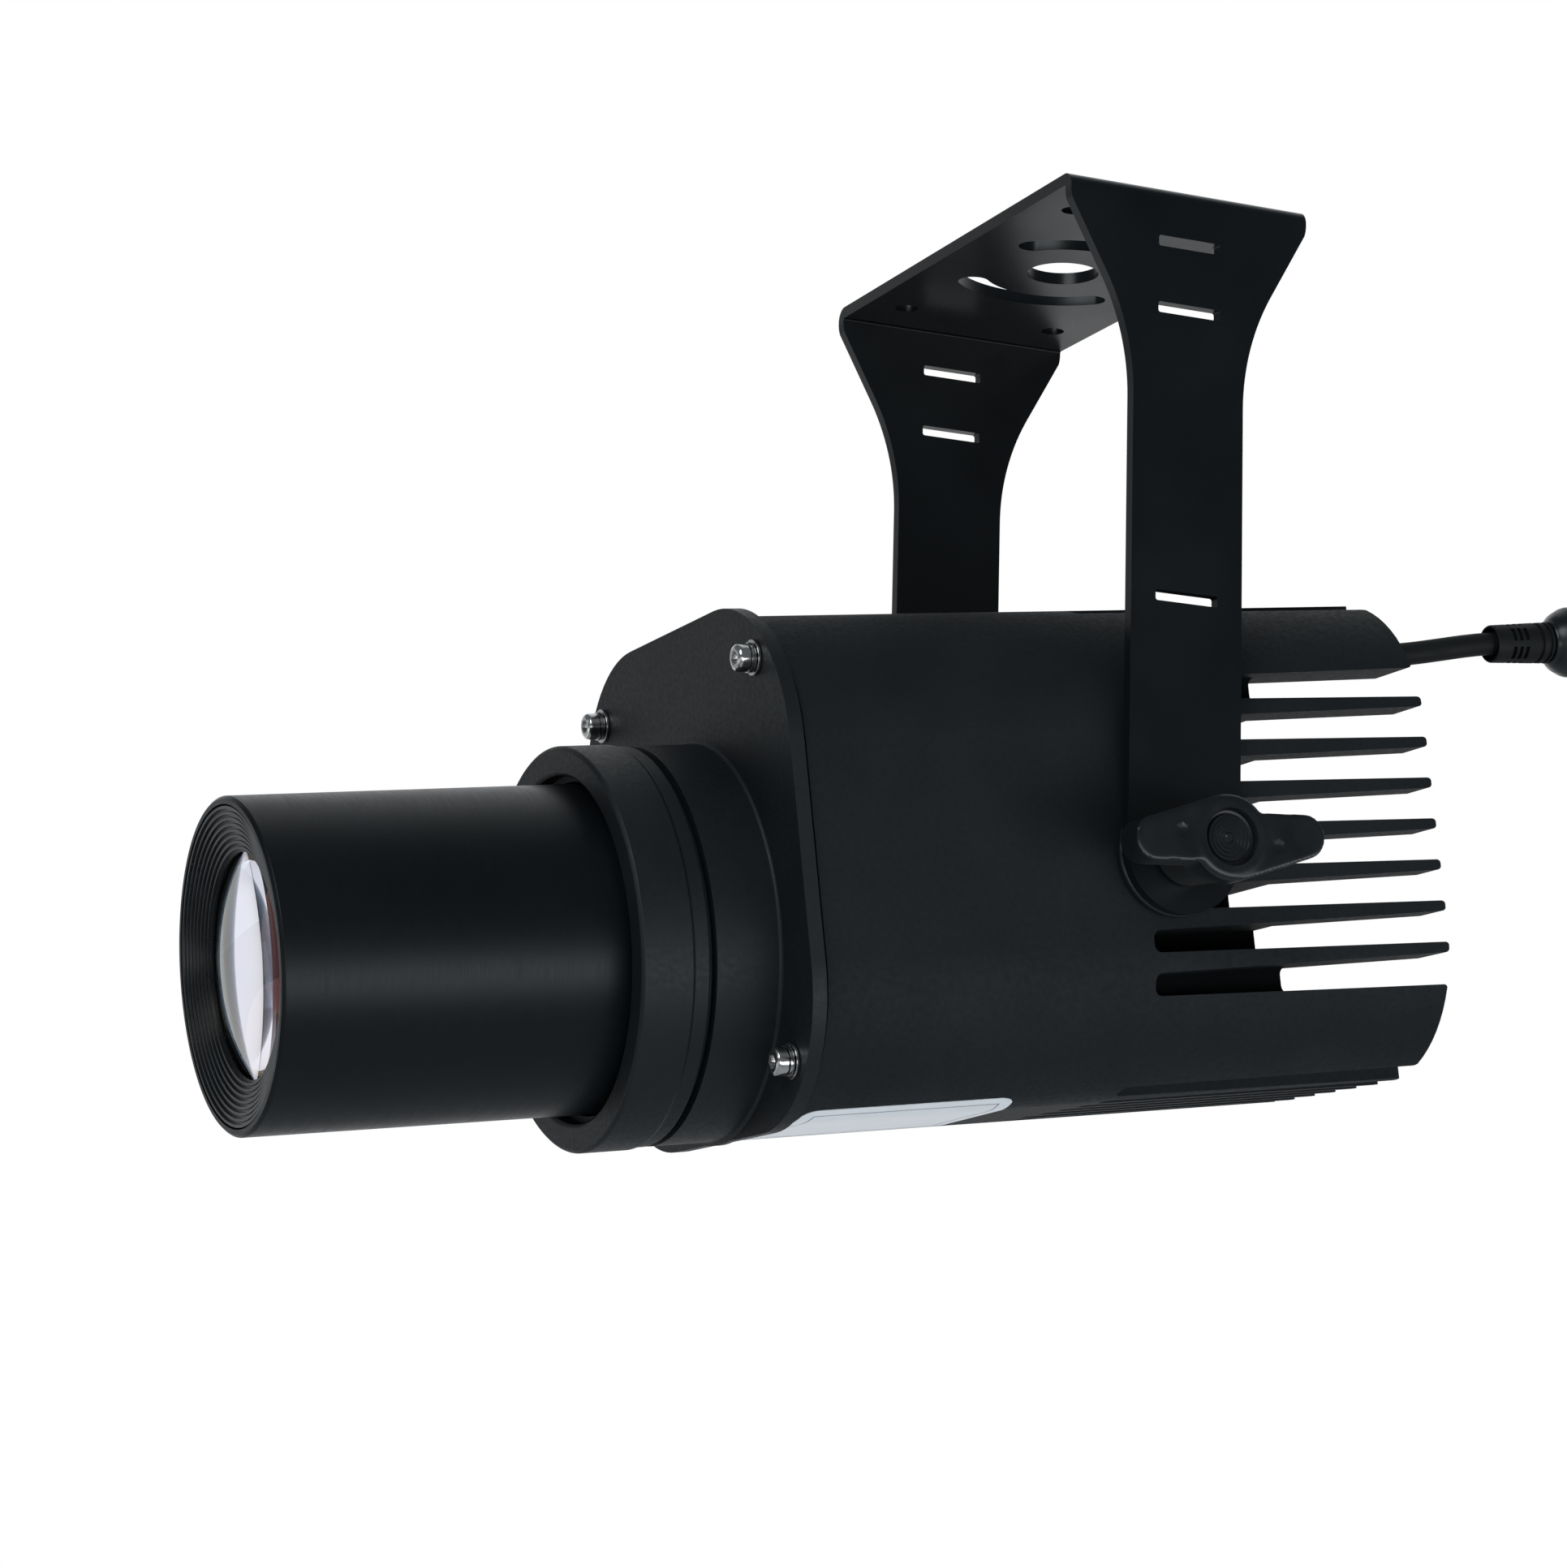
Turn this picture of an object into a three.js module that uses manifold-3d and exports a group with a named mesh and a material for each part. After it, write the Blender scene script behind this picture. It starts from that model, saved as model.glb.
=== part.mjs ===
// Gobo projector: a small LED image projector that hangs from a U-shaped bracket.
// Millimetres, +Z up. The origin is the centre of the clamp-bolt hole, on the bracket's top face.
// The lens points to -X, the finned rear and the power cord to +X. The lamp head is tilted a few
// degrees nose-down on its pivot, as it hangs in use.

import * as THREE from 'three';
import * as BufferGeometryUtils from 'three/addons/utils/BufferGeometryUtils.js';
import Module from 'manifold-3d';

const wasm = await Module();
wasm.setup();

// Clearances and shared values
const gap = 0.3;
const sealGap = 0.2;
const overrun = 4;
const quarter = Math.PI / 2;
const restTiltDegrees = 7.5;
const weldDistance = 1e-4;

// Bracket, bent from flat steel
const armSpace = 2.5;
const bracketLength = 54;
const bracketThickness = 2.5;
const bendInnerRadius = 0.4;
const armWidth = 25;
const pivotDepth = 135;
const flareStartDepth = 44;
const flareRadius = 50;
const flareAngle = Math.PI / 6;
const shoulderRadius = 4;
const clampHoleRadius = 7.6;
const fixingHoleRadius = 2.5;
const fixingHoleEdge = 9;
const fixingHoleInset = 16;
const arcSlotEdge = 7;
const arcSlotWidth = 6.5;
const arcSlotHalfAngle = Math.PI / 4;
const armSlotMargin = 5.5;
const armSlotHeight = 2.2;
const armSlotShares = [0.0852, 0.1874, 0.6244];

// Pivot: stud, friction washer and wing knob
const studRadius = 3;
const studDepth = 11;
const washerRadius = 14;
const knobHeight = 19;
const knobBaseRadius = 7;
const knobHubRadius = 8.5;
const knobWaist = 9;
const knobRecessRadius = 5.4;
const knobRecessDepth = 1.4;
const knobRecessRidge = 0.35;
const knobRingShares = [1, 0.8, 0.6, 0.4, 0.2];
const knobStudInset = 12;
const wingTipRadius = 4.3;
const wingTipReach = 16.4;
const wingTipOffset = 1.6;
const wingRootRadius = 6.6;
const wingRootReach = 1.5;
const wingRootOffset = 1.6;
const wingThickness = 6.4;
const wingSetback = 0.4;
const wingEdgeRadius = 0.8;
const dimpleRadius = 3;
const dimpleDepth = 0.6;
const dimpleReach = 10;

// Housing, a die casting
const bodyMargin = 10.4;
const bodyCornerRadius = 29;
const bodyFront = -77;
const bodyRear = 62;
const bodyEdgeRadius = 0.9;
const pivotBelowBodyCentre = 4;
const chamberWall = 9;
const chamberSpace = 1.5;
const chamberDrop = 5;
const chamberRear = -12;
const pocketFloor = 26;
const pocketWall = 8;
const cornerStep = 1;
const finCount = 7;
const finMargin = 20.6;
const slotFront = -6;
const slotFrontWidth = 4.4;
const slotRearWidth = 6.3;
const slotCornerRadius = 0.8;
const coreHalfWidth = 13.2;
const rimReach = 12;
const pivotBossRadius = 13.5;
const pivotBossDepth = 17;
const plateScrewInset = 11;
const plateScrewDepth = 13;

// Cable channel in the upper near corner post
const cordPlaceInset = 13;
const channelRoom = 0.4;
const grommetRadius = 4;
const grommetDepth = 6;
const grommetProud = 1.5;
const wirePocketWidth = 12;
const wirePocketOverlap = 12;
const wirePocketFront = -40;

// Front plate with the collar, and the gasket behind it
const plateProud = 1.5;
const plateThickness = 3;
const plateEdgeRadius = 0.5;
const gasketSpace = 1;
const gasketThickness = 0.5;
const gasketInset = 0.5;
const collarWall = 3.3;
const collarLength = 13.6;
const collarFillet = 2.4;
const filletShares = [0, 1 / 3, 2 / 3, 1];
const collarChamfer = 0.4;
const collarShoulder = 2;
const plateBoreGap = 0.8;

// Socket screws with a spring washer and a flat washer
const screwRadius = 1.5;
const screwHeadRadius = 2.75;
const screwHeadHeight = 2.4;
const screwHeadChamfer = 0.45;
const screwSocketRadius = 1.45;
const screwSocketDepth = 1.3;
const flatWasherRadius = 3.5;
const flatWasherThickness = 0.5;
const springWasherRadius = 2.95;
const springWasherThickness = 0.8;
const springWasherSlit = 0.7;

// Lens ring and barrel, on the optical axis
const opticDrop = 11.5;
const ringProud = 0.4;
const ringLength = 14.3;
const ringSeatGap = 1.3;
const ringChamfer = 0.6;
const ringTaperLength = 3.7;
const ringTaper = 0.4;
const ringMouthGap = 1.7;
const ringMouthDepth = 3.3;
const spigotLength = 12.6;
const spigotWall = 3.2;
const barrelRadius = 32.5;
const barrelWall = 2.5;
const barrelLength = 88.5;
const barrelOverlap = 5.9;
const barrelChamfer = 0.6;
const hoodSeatDepth = 0.9;
const hoodDepth = 3.9;
const hoodSetback = 0.2;
const hoodSteps = 8;
const hoodLip = 2.3;
const hoodStepDepth = 0.37;
const sealSection = 1.1;
const sealGrooveDepth = 1.1;
const sealGrooveWidth = 1.5;
const sealGrooveFromRear = 1.6;
const flangeSealInset = 2;

// Projection lens
const cellWall = 5.4;
const frontLensCurve = 90;
const frontLensEdge = 8;
const lensStep = 2;
const rearLensCurve = 50;
const rearLensEdge = 5.6;
const cellLength = 34.5;
const apertureLip = 1.5;
const cellApertureLength = 12;
const rearRetainerLength = 3;
const rearRetainerWall = 2.5;

// Light engine behind the lens: board, emitter, condenser and gobo
const boardMargin = 3;
const boardThickness = 1.6;
const emitterSize = 19;
const emitterBase = 1;
const emitterDomeRadius = 6;
const emitterDomeHeight = 2.8;
const boardScrewInset = 6.5;
const boardScrewDepth = 5;
const tubeBoreRadius = 27;
const tubeWall = 3;
const tubeFlangeWidth = 3;
const tubeFlangeThickness = 3;
const tubeRecess = 5;
const tubeSeatDepth = 7.7;
const tubeSeatWidth = 2;
const tubeSeatLedge = 2;
const wireNotchWidth = 6;
const wireNotchDepth = 8.7;
const condenserCurveShare = 1.4981273;
const condenserEdge = 3;
const condenserGap = 1;
const condenserSpacerWall = 1.5;
const condenserRingLength = 3;
const condenserRingWall = 2.7;
const goboRadius = 18.5;
const goboThickness = 1.1;
const goboHolderFromFront = 0.5;
const goboHolderLength = 12.5;
const goboLedge = 2;
const goboLip = 1.5;
const goboSpringSection = 1.4;
const goboHoleCount = 6;
const goboHoleRadius = 2.2;
const goboHolePlace = 11;
const goboCentreHoleRadius = 4;

// Power cord, strain relief and screw connector
const cordRadius = 2.4;
const cordInset = 5.2;
const cordEndGap = 0.3;
const cordSides = 10;
const cordSteps = 12;
const connectorRise = 1.9;
const connectorSide = 0.3;
const cordReach = 26.5;
const bootLength = 14;
const bootTailRadius = 3.95;
const bootHeadRadius = 4.35;
const bootGrooveDepth = 0.5;
const bootGrooveWidth = 0.9;
const bootGrooveShares = [0.743, 0.886];
const bootSlotLength = 1.2;
const bootSlotDepth = 0.9;
const bootSlotHeight = 2.6;
const bootSlotShares = [0.27, 0.44];
const bootSlotRows = 6;
const nutLength = 13;
const nutRadius = 7.4;
const nutTailRadius = 4.6;
const nutShoulder = 4.7;
const nutBoreRadius = 5.7;
const nutLipRadius = 3.5;
const nutLipLength = 1.6;
const nutFluteCount = 14;
const nutFluteRadius = 0.7;
const insertRadius = 5.4;
const insertWall = 1;
const insertSocketDepth = 4.2;
const pinRadius = 0.7;
const pinLength = 3.4;
const pinCircle = 2.2;
const pinCount = 3;

// Lead from the cord to the board, inside the housing
const leadRadius = 1.3;
const leadSides = 6;
const leadSteps = 26;

// Sizes that follow from others, from the lens unit and the light engine out to the bracket
const barrelBoreRadius = barrelRadius - barrelWall;
const hoodSeatRadius = barrelBoreRadius + hoodSeatDepth;
const frontLensRadius = barrelBoreRadius - cellWall - 2 * gap;
const rearLensRadius = frontLensRadius - lensStep;
const cellApertureRadius = rearLensRadius - apertureLip;
const rearRetainerBore = rearLensRadius - rearRetainerWall;
const hoodAperture = frontLensRadius - hoodLip;
const ringMouthRadius = barrelRadius + ringMouthGap;
const plateBoreRadius = barrelRadius + plateBoreGap;
const collarBoreRadius = barrelRadius + spigotWall + 2 * gap;
const collarRadius = collarBoreRadius + collarWall;
const ringRadius = collarRadius + ringProud;
const flangeSealRadius = collarRadius - flangeSealInset;
const tubeRadius = tubeBoreRadius + tubeWall;
const tubeFlangeRadius = tubeRadius + tubeFlangeWidth;
const tubeSeatRadius = tubeBoreRadius - tubeSeatLedge;
const boardRadius = tubeBoreRadius - boardMargin;
const boardScrewPlace = boardRadius - boardScrewInset;
const liningRadius = tubeBoreRadius - gap;
const condenserCurve = liningRadius * condenserCurveShare;
const condenserRingBore = liningRadius - condenserRingWall;
const goboAperture = goboRadius - goboLip;
const chamberRadius = tubeFlangeRadius + opticDrop - chamberDrop + chamberSpace;
const bodySize = 2 * Math.max(collarRadius + bodyMargin, chamberRadius + chamberWall);
const pocketSize = bodySize - 2 * pocketWall;
const pocketCornerRadius = bodyCornerRadius - cornerStep;
const rimOverlap = pocketSize / 2 - rimReach;
const finPitch = (bodySize - 2 * finMargin) / finCount;
const plateScrewPlace = bodySize / 2 - plateScrewInset;
const plateSize = bodySize + 2 * plateProud;
const plateCornerRadius = bodyCornerRadius + cornerStep;
const cordPlace = bodySize / 2 - cordPlaceInset;
const channelRadius = cordRadius + channelRoom;
const bootFront = bodyRear + cordReach;
const bracketWidth = bodySize + 2 * (armSpace + bracketThickness);
const fixingHoleX = bracketLength / 2 - fixingHoleEdge;
const fixingHoleY = bracketWidth / 2 - fixingHoleInset;
const arcSlotRadius = bracketLength / 2 - arcSlotEdge;
const armSlotLength = armWidth - 2 * armSlotMargin;

// Facet counts
const fineSegments = 36;
const roundSegments = 24;
const smallSegments = 12;
const cornerSegments = 6;

const materials = {
  powderBlack: new THREE.MeshStandardMaterial({ color: 0x17191b, roughness: 0.62, metalness: 0.2 }),
  satinBlack: new THREE.MeshStandardMaterial({ color: 0x131517, roughness: 0.45, metalness: 0.25 }),
  anodisedBlack: new THREE.MeshStandardMaterial({ color: 0x14181a, roughness: 0.38, metalness: 0.55 }),
  blackPlastic: new THREE.MeshStandardMaterial({ color: 0x15181a, roughness: 0.5, metalness: 0 }),
  blackRubber: new THREE.MeshStandardMaterial({ color: 0x0d0e0f, roughness: 0.8, metalness: 0 }),
  steel: new THREE.MeshStandardMaterial({ color: 0xb9b9b6, roughness: 0.25, metalness: 1 }),
  aluminium: new THREE.MeshStandardMaterial({ color: 0xb4b7b9, roughness: 0.45, metalness: 0.9 }),
  glass: new THREE.MeshStandardMaterial({ color: 0xdfe6ea, roughness: 0.05, metalness: 0 }),
  board: new THREE.MeshStandardMaterial({ color: 0xe8e8e2, roughness: 0.5, metalness: 0.1 }),
  emitter: new THREE.MeshStandardMaterial({ color: 0xe3c84a, roughness: 0.35, metalness: 0 }),
  brass: new THREE.MeshStandardMaterial({ color: 0xc9a657, roughness: 0.3, metalness: 1 }),
};

// Turns a three.js geometry into a closed solid whose faces point out
function toSolid(geometry) {
  const bare = new THREE.BufferGeometry();
  bare.setAttribute('position', geometry.getAttribute('position').clone());
  if (geometry.index) bare.setIndex(geometry.index.clone());
  const merged = BufferGeometryUtils.mergeVertices(bare, weldDistance);
  const index = merged.index.array;
  const triangles = [];
  for (let i = 0; i < index.length; i += 3) {
    const [a, b, c] = [index[i], index[i + 1], index[i + 2]];
    if (a !== b && b !== c && c !== a) triangles.push(a, b, c);
  }
  const points = merged.getAttribute('position').array;
  if (signedVolume(points, triangles) < 0) triangles.reverse();
  return new wasm.Manifold(new wasm.Mesh({
    numProp: 3,
    vertProperties: Float32Array.from(points),
    triVerts: Uint32Array.from(triangles),
  }));
}

function signedVolume(points, triangles) {
  const a = new THREE.Vector3();
  const b = new THREE.Vector3();
  const c = new THREE.Vector3();
  let volume = 0;
  for (let i = 0; i < triangles.length; i += 3) {
    a.fromArray(points, triangles[i] * 3);
    b.fromArray(points, triangles[i + 1] * 3);
    c.fromArray(points, triangles[i + 2] * 3);
    volume += a.dot(b.cross(c)) / 6;
  }
  return volume;
}

function toGeometry(solid) {
  const mesh = solid.getMesh();
  const geometry = new THREE.BufferGeometry();
  geometry.setAttribute('position', new THREE.BufferAttribute(Float32Array.from(mesh.vertProperties), 3));
  geometry.setIndex(new THREE.BufferAttribute(Uint32Array.from(mesh.triVerts), 1));
  geometry.computeVertexNormals();
  return geometry;
}

function addPiece(parent, name, solid, material) {
  const piece = new THREE.Mesh(toGeometry(solid), material);
  piece.name = name;
  parent.add(piece);
  return piece;
}

function cut(solid, tools) {
  return tools.reduce((rest, tool) => rest.subtract(tool), solid);
}

function join(first, others) {
  return others.reduce((whole, other) => whole.add(other), first);
}

// A profile of [x, radius] corners turned about the X axis
function turned(profile, segments = roundSegments) {
  const corners = profile.map(([x, radius]) => new THREE.Vector2(radius, x));
  return toSolid(new THREE.LatheGeometry(corners, segments).rotateZ(-quarter));
}

// A ring profile closes on itself
function turnedRing(profile, segments = roundSegments) {
  return turned([...profile, profile[0]], segments);
}

function moved(solid, x, y, z) {
  const geometry = toGeometry(solid);
  geometry.translate(x, y, z);
  return toSolid(geometry);
}

// A plain rod along X from x0 to x1, centred at (y, z)
function rodAlongX(radius, x0, x1, y, z, segments = smallSegments) {
  const geometry = new THREE.CylinderGeometry(radius, radius, x1 - x0, segments);
  geometry.rotateZ(-quarter).translate((x0 + x1) / 2, y, z);
  return toSolid(geometry);
}

function rodAlongY(radius, y0, y1, x, z, segments = smallSegments) {
  const geometry = new THREE.CylinderGeometry(radius, radius, Math.abs(y1 - y0), segments);
  geometry.translate(x, (y0 + y1) / 2, z);
  return toSolid(geometry);
}

function rodAlongZ(radius, z0, z1, x, y, segments = smallSegments) {
  const geometry = new THREE.CylinderGeometry(radius, radius, z1 - z0, segments);
  geometry.rotateX(quarter).translate(x, y, (z0 + z1) / 2);
  return toSolid(geometry);
}

function block(width, depth, height, x, y, z) {
  return toSolid(new THREE.BoxGeometry(width, depth, height).translate(x, y, z));
}

// A rounded square in the shape's own plane, centred on zero
function roundedSquare(size, radius) {
  const flat = size / 2 - radius;
  const shape = new THREE.Shape();
  shape.absarc(flat, flat, radius, 0, quarter);
  shape.absarc(-flat, flat, radius, quarter, 2 * quarter);
  shape.absarc(-flat, -flat, radius, 2 * quarter, 3 * quarter);
  shape.absarc(flat, -flat, radius, 3 * quarter, 4 * quarter);
  shape.closePath();
  return shape;
}

// Extrudes a shape drawn in (y, z) along X from x0 to x1, with rounded end edges if asked
function extrudedAlongX(shape, x0, x1, edge = 0, curveSegments = cornerSegments) {
  const geometry = new THREE.ExtrudeGeometry(shape, {
    depth: x1 - x0 - 2 * edge,
    curveSegments,
    bevelEnabled: edge > 0,
    bevelThickness: edge,
    bevelSize: edge,
    bevelOffset: -edge,
    bevelSegments: 1,
  });
  const turnToX = new THREE.Matrix4().set(0, 0, 1, x0 + edge, 1, 0, 0, 0, 0, 1, 0, 0, 0, 0, 0, 1);
  return toSolid(geometry.applyMatrix4(turnToX));
}

// Extrudes a shape drawn in (x, z) along Y from y0 to y1
function extrudedAlongY(shape, y0, y1, edge = 0, curveSegments = cornerSegments) {
  const geometry = new THREE.ExtrudeGeometry(shape, {
    depth: y1 - y0 - 2 * edge,
    curveSegments,
    bevelEnabled: edge > 0,
    bevelThickness: edge,
    bevelSize: edge,
    bevelSegments: 2,
  });
  geometry.rotateX(quarter).translate(0, y1 - edge, 0);
  return toSolid(geometry);
}

// Bracket

// The channel section, drawn in (y, z): two arms and a top plate joined by round bends
function channelSection() {
  const half = bracketWidth / 2;
  const inner = half - bracketThickness;
  const outerRadius = bendInnerRadius + bracketThickness;
  const bottom = -pivotDepth - armWidth;
  const bend = half - outerRadius;
  const shape = new THREE.Shape();
  shape.moveTo(half, bottom);
  shape.lineTo(half, -outerRadius);
  shape.absarc(bend, -outerRadius, outerRadius, 0, quarter);
  shape.lineTo(-bend, 0);
  shape.absarc(-bend, -outerRadius, outerRadius, quarter, 2 * quarter);
  shape.lineTo(-half, bottom);
  shape.lineTo(-inner, bottom);
  shape.lineTo(-inner, -outerRadius);
  shape.absarc(-bend, -outerRadius, bendInnerRadius, 2 * quarter, quarter, true);
  shape.lineTo(bend, -bracketThickness);
  shape.absarc(bend, -outerRadius, bendInnerRadius, quarter, 0, true);
  shape.lineTo(inner, bottom);
  shape.closePath();
  return shape;
}

// The arm seen from the side, drawn in (x, z): wide at the plate, drawn in by a curved flare
function armOutline() {
  const half = armWidth / 2;
  const top = bracketLength / 2;
  const arcX = half + flareRadius;
  const flareEndX = arcX - flareRadius * Math.cos(flareAngle);
  const flareEndZ = -flareStartDepth + flareRadius * Math.sin(flareAngle);
  const cornerZ = flareEndZ + (top - flareEndX) / Math.tan(flareAngle);
  const tangent = shoulderRadius * Math.tan(flareAngle / 2);
  const shoulderZ = cornerZ + tangent;
  const shape = new THREE.Shape();
  shape.moveTo(top, overrun);
  shape.lineTo(-top, overrun);
  shape.absarc(-top + shoulderRadius, shoulderZ, shoulderRadius, 2 * quarter, 2 * quarter + flareAngle);
  shape.absarc(-arcX, -flareStartDepth, flareRadius, flareAngle, 0, true);
  shape.absarc(0, -pivotDepth, half, 2 * quarter, 4 * quarter);
  shape.absarc(arcX, -flareStartDepth, flareRadius, 2 * quarter, 2 * quarter - flareAngle, true);
  shape.absarc(top - shoulderRadius, shoulderZ, shoulderRadius, -flareAngle, 0);
  shape.closePath();
  return shape;
}

// A slot along an arc round the clamp hole, with round ends, drawn in (x, y)
function arcSlot(side) {
  const middle = side * quarter;
  const from = middle - arcSlotHalfAngle;
  const to = middle + arcSlotHalfAngle;
  const half = arcSlotWidth / 2;
  const place = (angle) => [arcSlotRadius * Math.cos(angle), arcSlotRadius * Math.sin(angle)];
  const shape = new THREE.Shape();
  shape.absarc(0, 0, arcSlotRadius + half, from, to);
  shape.absarc(...place(to), half, to, to + 2 * quarter);
  shape.absarc(0, 0, arcSlotRadius - half, to, from, true);
  shape.absarc(...place(from), half, from + 2 * quarter, from + 4 * quarter);
  shape.closePath();
  const geometry = new THREE.ExtrudeGeometry(shape, {
    depth: bracketThickness + 2 * overrun,
    curveSegments: cornerSegments,
    bevelEnabled: false,
  });
  return toSolid(geometry.translate(0, 0, -bracketThickness - overrun));
}

function makeBracket() {
  const channel = extrudedAlongX(channelSection(), -bracketLength / 2, bracketLength / 2, 0, 4);
  const side = extrudedAlongY(armOutline(), -bracketWidth, bracketWidth, 0, 10);
  const across = bracketWidth + 2 * overrun;
  const armSlots = armSlotShares.map((share) => (
    block(armSlotLength, across, armSlotHeight, 0, 0, -share * pivotDepth)));
  const pivotHole = rodAlongY(studRadius + gap, -bracketWidth, bracketWidth, 0, -pivotDepth, 24);
  const below = -bracketThickness - overrun;
  const clampHole = rodAlongZ(clampHoleRadius, below, overrun, 0, 0, roundSegments);
  const fixingHoles = [-1, 1].flatMap((sx) => [-1, 1].map((sy) => (
    rodAlongZ(fixingHoleRadius, below, overrun, sx * fixingHoleX, sy * fixingHoleY))));
  const tools = [...armSlots, pivotHole, clampHole, ...fixingHoles, arcSlot(1), arcSlot(-1)];
  return cut(channel.intersect(side), tools);
}

// Pivot pieces, made for the near side and turned half round for the far side

function makeFrictionWasher() {
  const inner = bodySize / 2 + gap;
  const outer = bracketWidth / 2 - bracketThickness - gap;
  const edge = gap;
  return turnedRing([
    [inner, studRadius + gap],
    [inner, washerRadius - edge],
    [inner + edge, washerRadius],
    [outer - edge, washerRadius],
    [outer, washerRadius - edge],
    [outer, studRadius + gap],
  ]);
}

// The wing's plan: two circles joined by their outer tangents, drawn in (x, z)
function wingPlan(direction) {
  const tip = new THREE.Vector2(direction * wingTipReach, direction * wingTipOffset);
  const root = new THREE.Vector2(direction * wingRootReach, -direction * wingRootOffset);
  const reach = tip.clone().sub(root);
  const heading = Math.atan2(reach.y, reach.x);
  const spread = Math.acos((wingRootRadius - wingTipRadius) / reach.length());
  const shape = new THREE.Shape();
  shape.absarc(tip.x, tip.y, wingTipRadius, heading - spread, heading + spread);
  shape.absarc(root.x, root.y, wingRootRadius, heading + spread, heading - spread + 4 * quarter);
  shape.closePath();
  return shape;
}

function makeKnob() {
  const seat = bracketWidth / 2 + gap;
  const face = bracketWidth / 2 + knobHeight;
  const wingFace = face - wingSetback;
  const hub = knobSolid(seat, face);
  const bore = rodAlongX(studRadius + gap, seat - overrun, seat + knobStudInset, 0, 0);
  const wings = [-1, 1].map((direction) => {
    const geometry = new THREE.ExtrudeGeometry(wingPlan(direction), {
      depth: wingThickness - 2 * wingEdgeRadius,
      curveSegments: 8,
      bevelEnabled: true,
      bevelThickness: wingEdgeRadius,
      bevelSize: wingEdgeRadius,
      bevelOffset: -wingEdgeRadius,
      bevelSegments: 1,
    });
    const across = new THREE.Matrix4().set(0, 0, 1, wingFace - wingThickness + wingEdgeRadius,
      1, 0, 0, 0, 0, 1, 0, 0, 0, 0, 0, 1);
    return toSolid(geometry.applyMatrix4(across));
  });
  const dimples = [-1, 1].map((direction) => {
    const ball = new THREE.SphereGeometry(dimpleRadius, 12, 8);
    ball.translate(wingFace + dimpleRadius - dimpleDepth, direction * dimpleReach, 0);
    return toSolid(ball);
  });
  const recess = knobRecess(face);
  return cut(join(hub, wings), [bore, recess, ...dimples]);
}

function knobSolid(seat, face) {
  return turned([
    [seat, 0],
    [seat, knobBaseRadius],
    [seat + knobWaist, knobHubRadius - wingEdgeRadius],
    [face - 2 * wingEdgeRadius, knobHubRadius],
    [face - wingEdgeRadius / 2, knobHubRadius - wingEdgeRadius / 2],
    [face, knobHubRadius - wingEdgeRadius * 2],
    [face, 0],
  ], roundSegments);
}

// The recess tool, with a stepped floor that leaves fine concentric ridges
function knobRecess(face) {
  const floor = face - knobRecessDepth;
  const steps = knobRingShares.flatMap((share, i) => {
    const radius = knobRecessRadius * share;
    const level = i % 2 ? floor + knobRecessRidge : floor;
    return [[level, radius], [level, radius - knobRecessRadius / knobRingShares.length]];
  });
  return turned([[face + overrun, 0], [face + overrun, knobRecessRadius], ...steps.slice(0, -1),
    [floor, 0]], 20);
}

function makeKnobStud() {
  const inner = bodySize / 2 - studDepth;
  const outer = bracketWidth / 2 + knobStudInset;
  return turned([
    [inner, 0],
    [inner, studRadius - gap],
    [inner + gap, studRadius],
    [outer, studRadius],
    [outer, 0],
  ], 20);
}

// Housing

// One cooling slot seen square to its face, drawn in (x, across): cast draft makes it widen rearwards
function slotPlan(front, across) {
  const rear = bodyRear + overrun;
  const widthAt = (x) => {
    const share = (x - slotFront) / (bodyRear - slotFront);
    return slotFrontWidth + (slotRearWidth - slotFrontWidth) * share;
  };
  const frontHalf = widthAt(front) / 2;
  const rearHalf = widthAt(rear) / 2;
  const r = slotCornerRadius;
  const shape = new THREE.Shape();
  shape.moveTo(rear, across - rearHalf);
  shape.lineTo(rear, across + rearHalf);
  shape.absarc(front + r, across + frontHalf - r, r, quarter, 2 * quarter);
  shape.absarc(front + r, across - frontHalf + r, r, 2 * quarter, 3 * quarter);
  shape.closePath();
  return shape;
}

// Slots on one side: shallow to the pocket behind its floor, and down to the diagonal webs before it
function slotTools() {
  const tools = [];
  const outside = bodySize / 2 + overrun;
  for (let i = 0; i <= finCount; i += 1) {
    const across = (i - finCount / 2) * finPitch;
    const webDepth = Math.abs(across) + coreHalfWidth;
    tools.push(extrudedAlongY(slotPlan(slotFront, across), -outside, -webDepth, 0, 3));
    tools.push(extrudedAlongY(slotPlan(pocketFloor, across), -outside, -rimOverlap, 0, 3));
  }
  return tools;
}

// The same slots, turned about X to the other three sides
function slotsOnAllSides() {
  const nearSide = slotTools().reduce((whole, tool) => whole.add(tool));
  return [0, 1, 2, 3].map((turns) => {
    const geometry = toGeometry(nearSide);
    geometry.rotateX(turns * quarter);
    return toSolid(geometry);
  });
}

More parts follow.
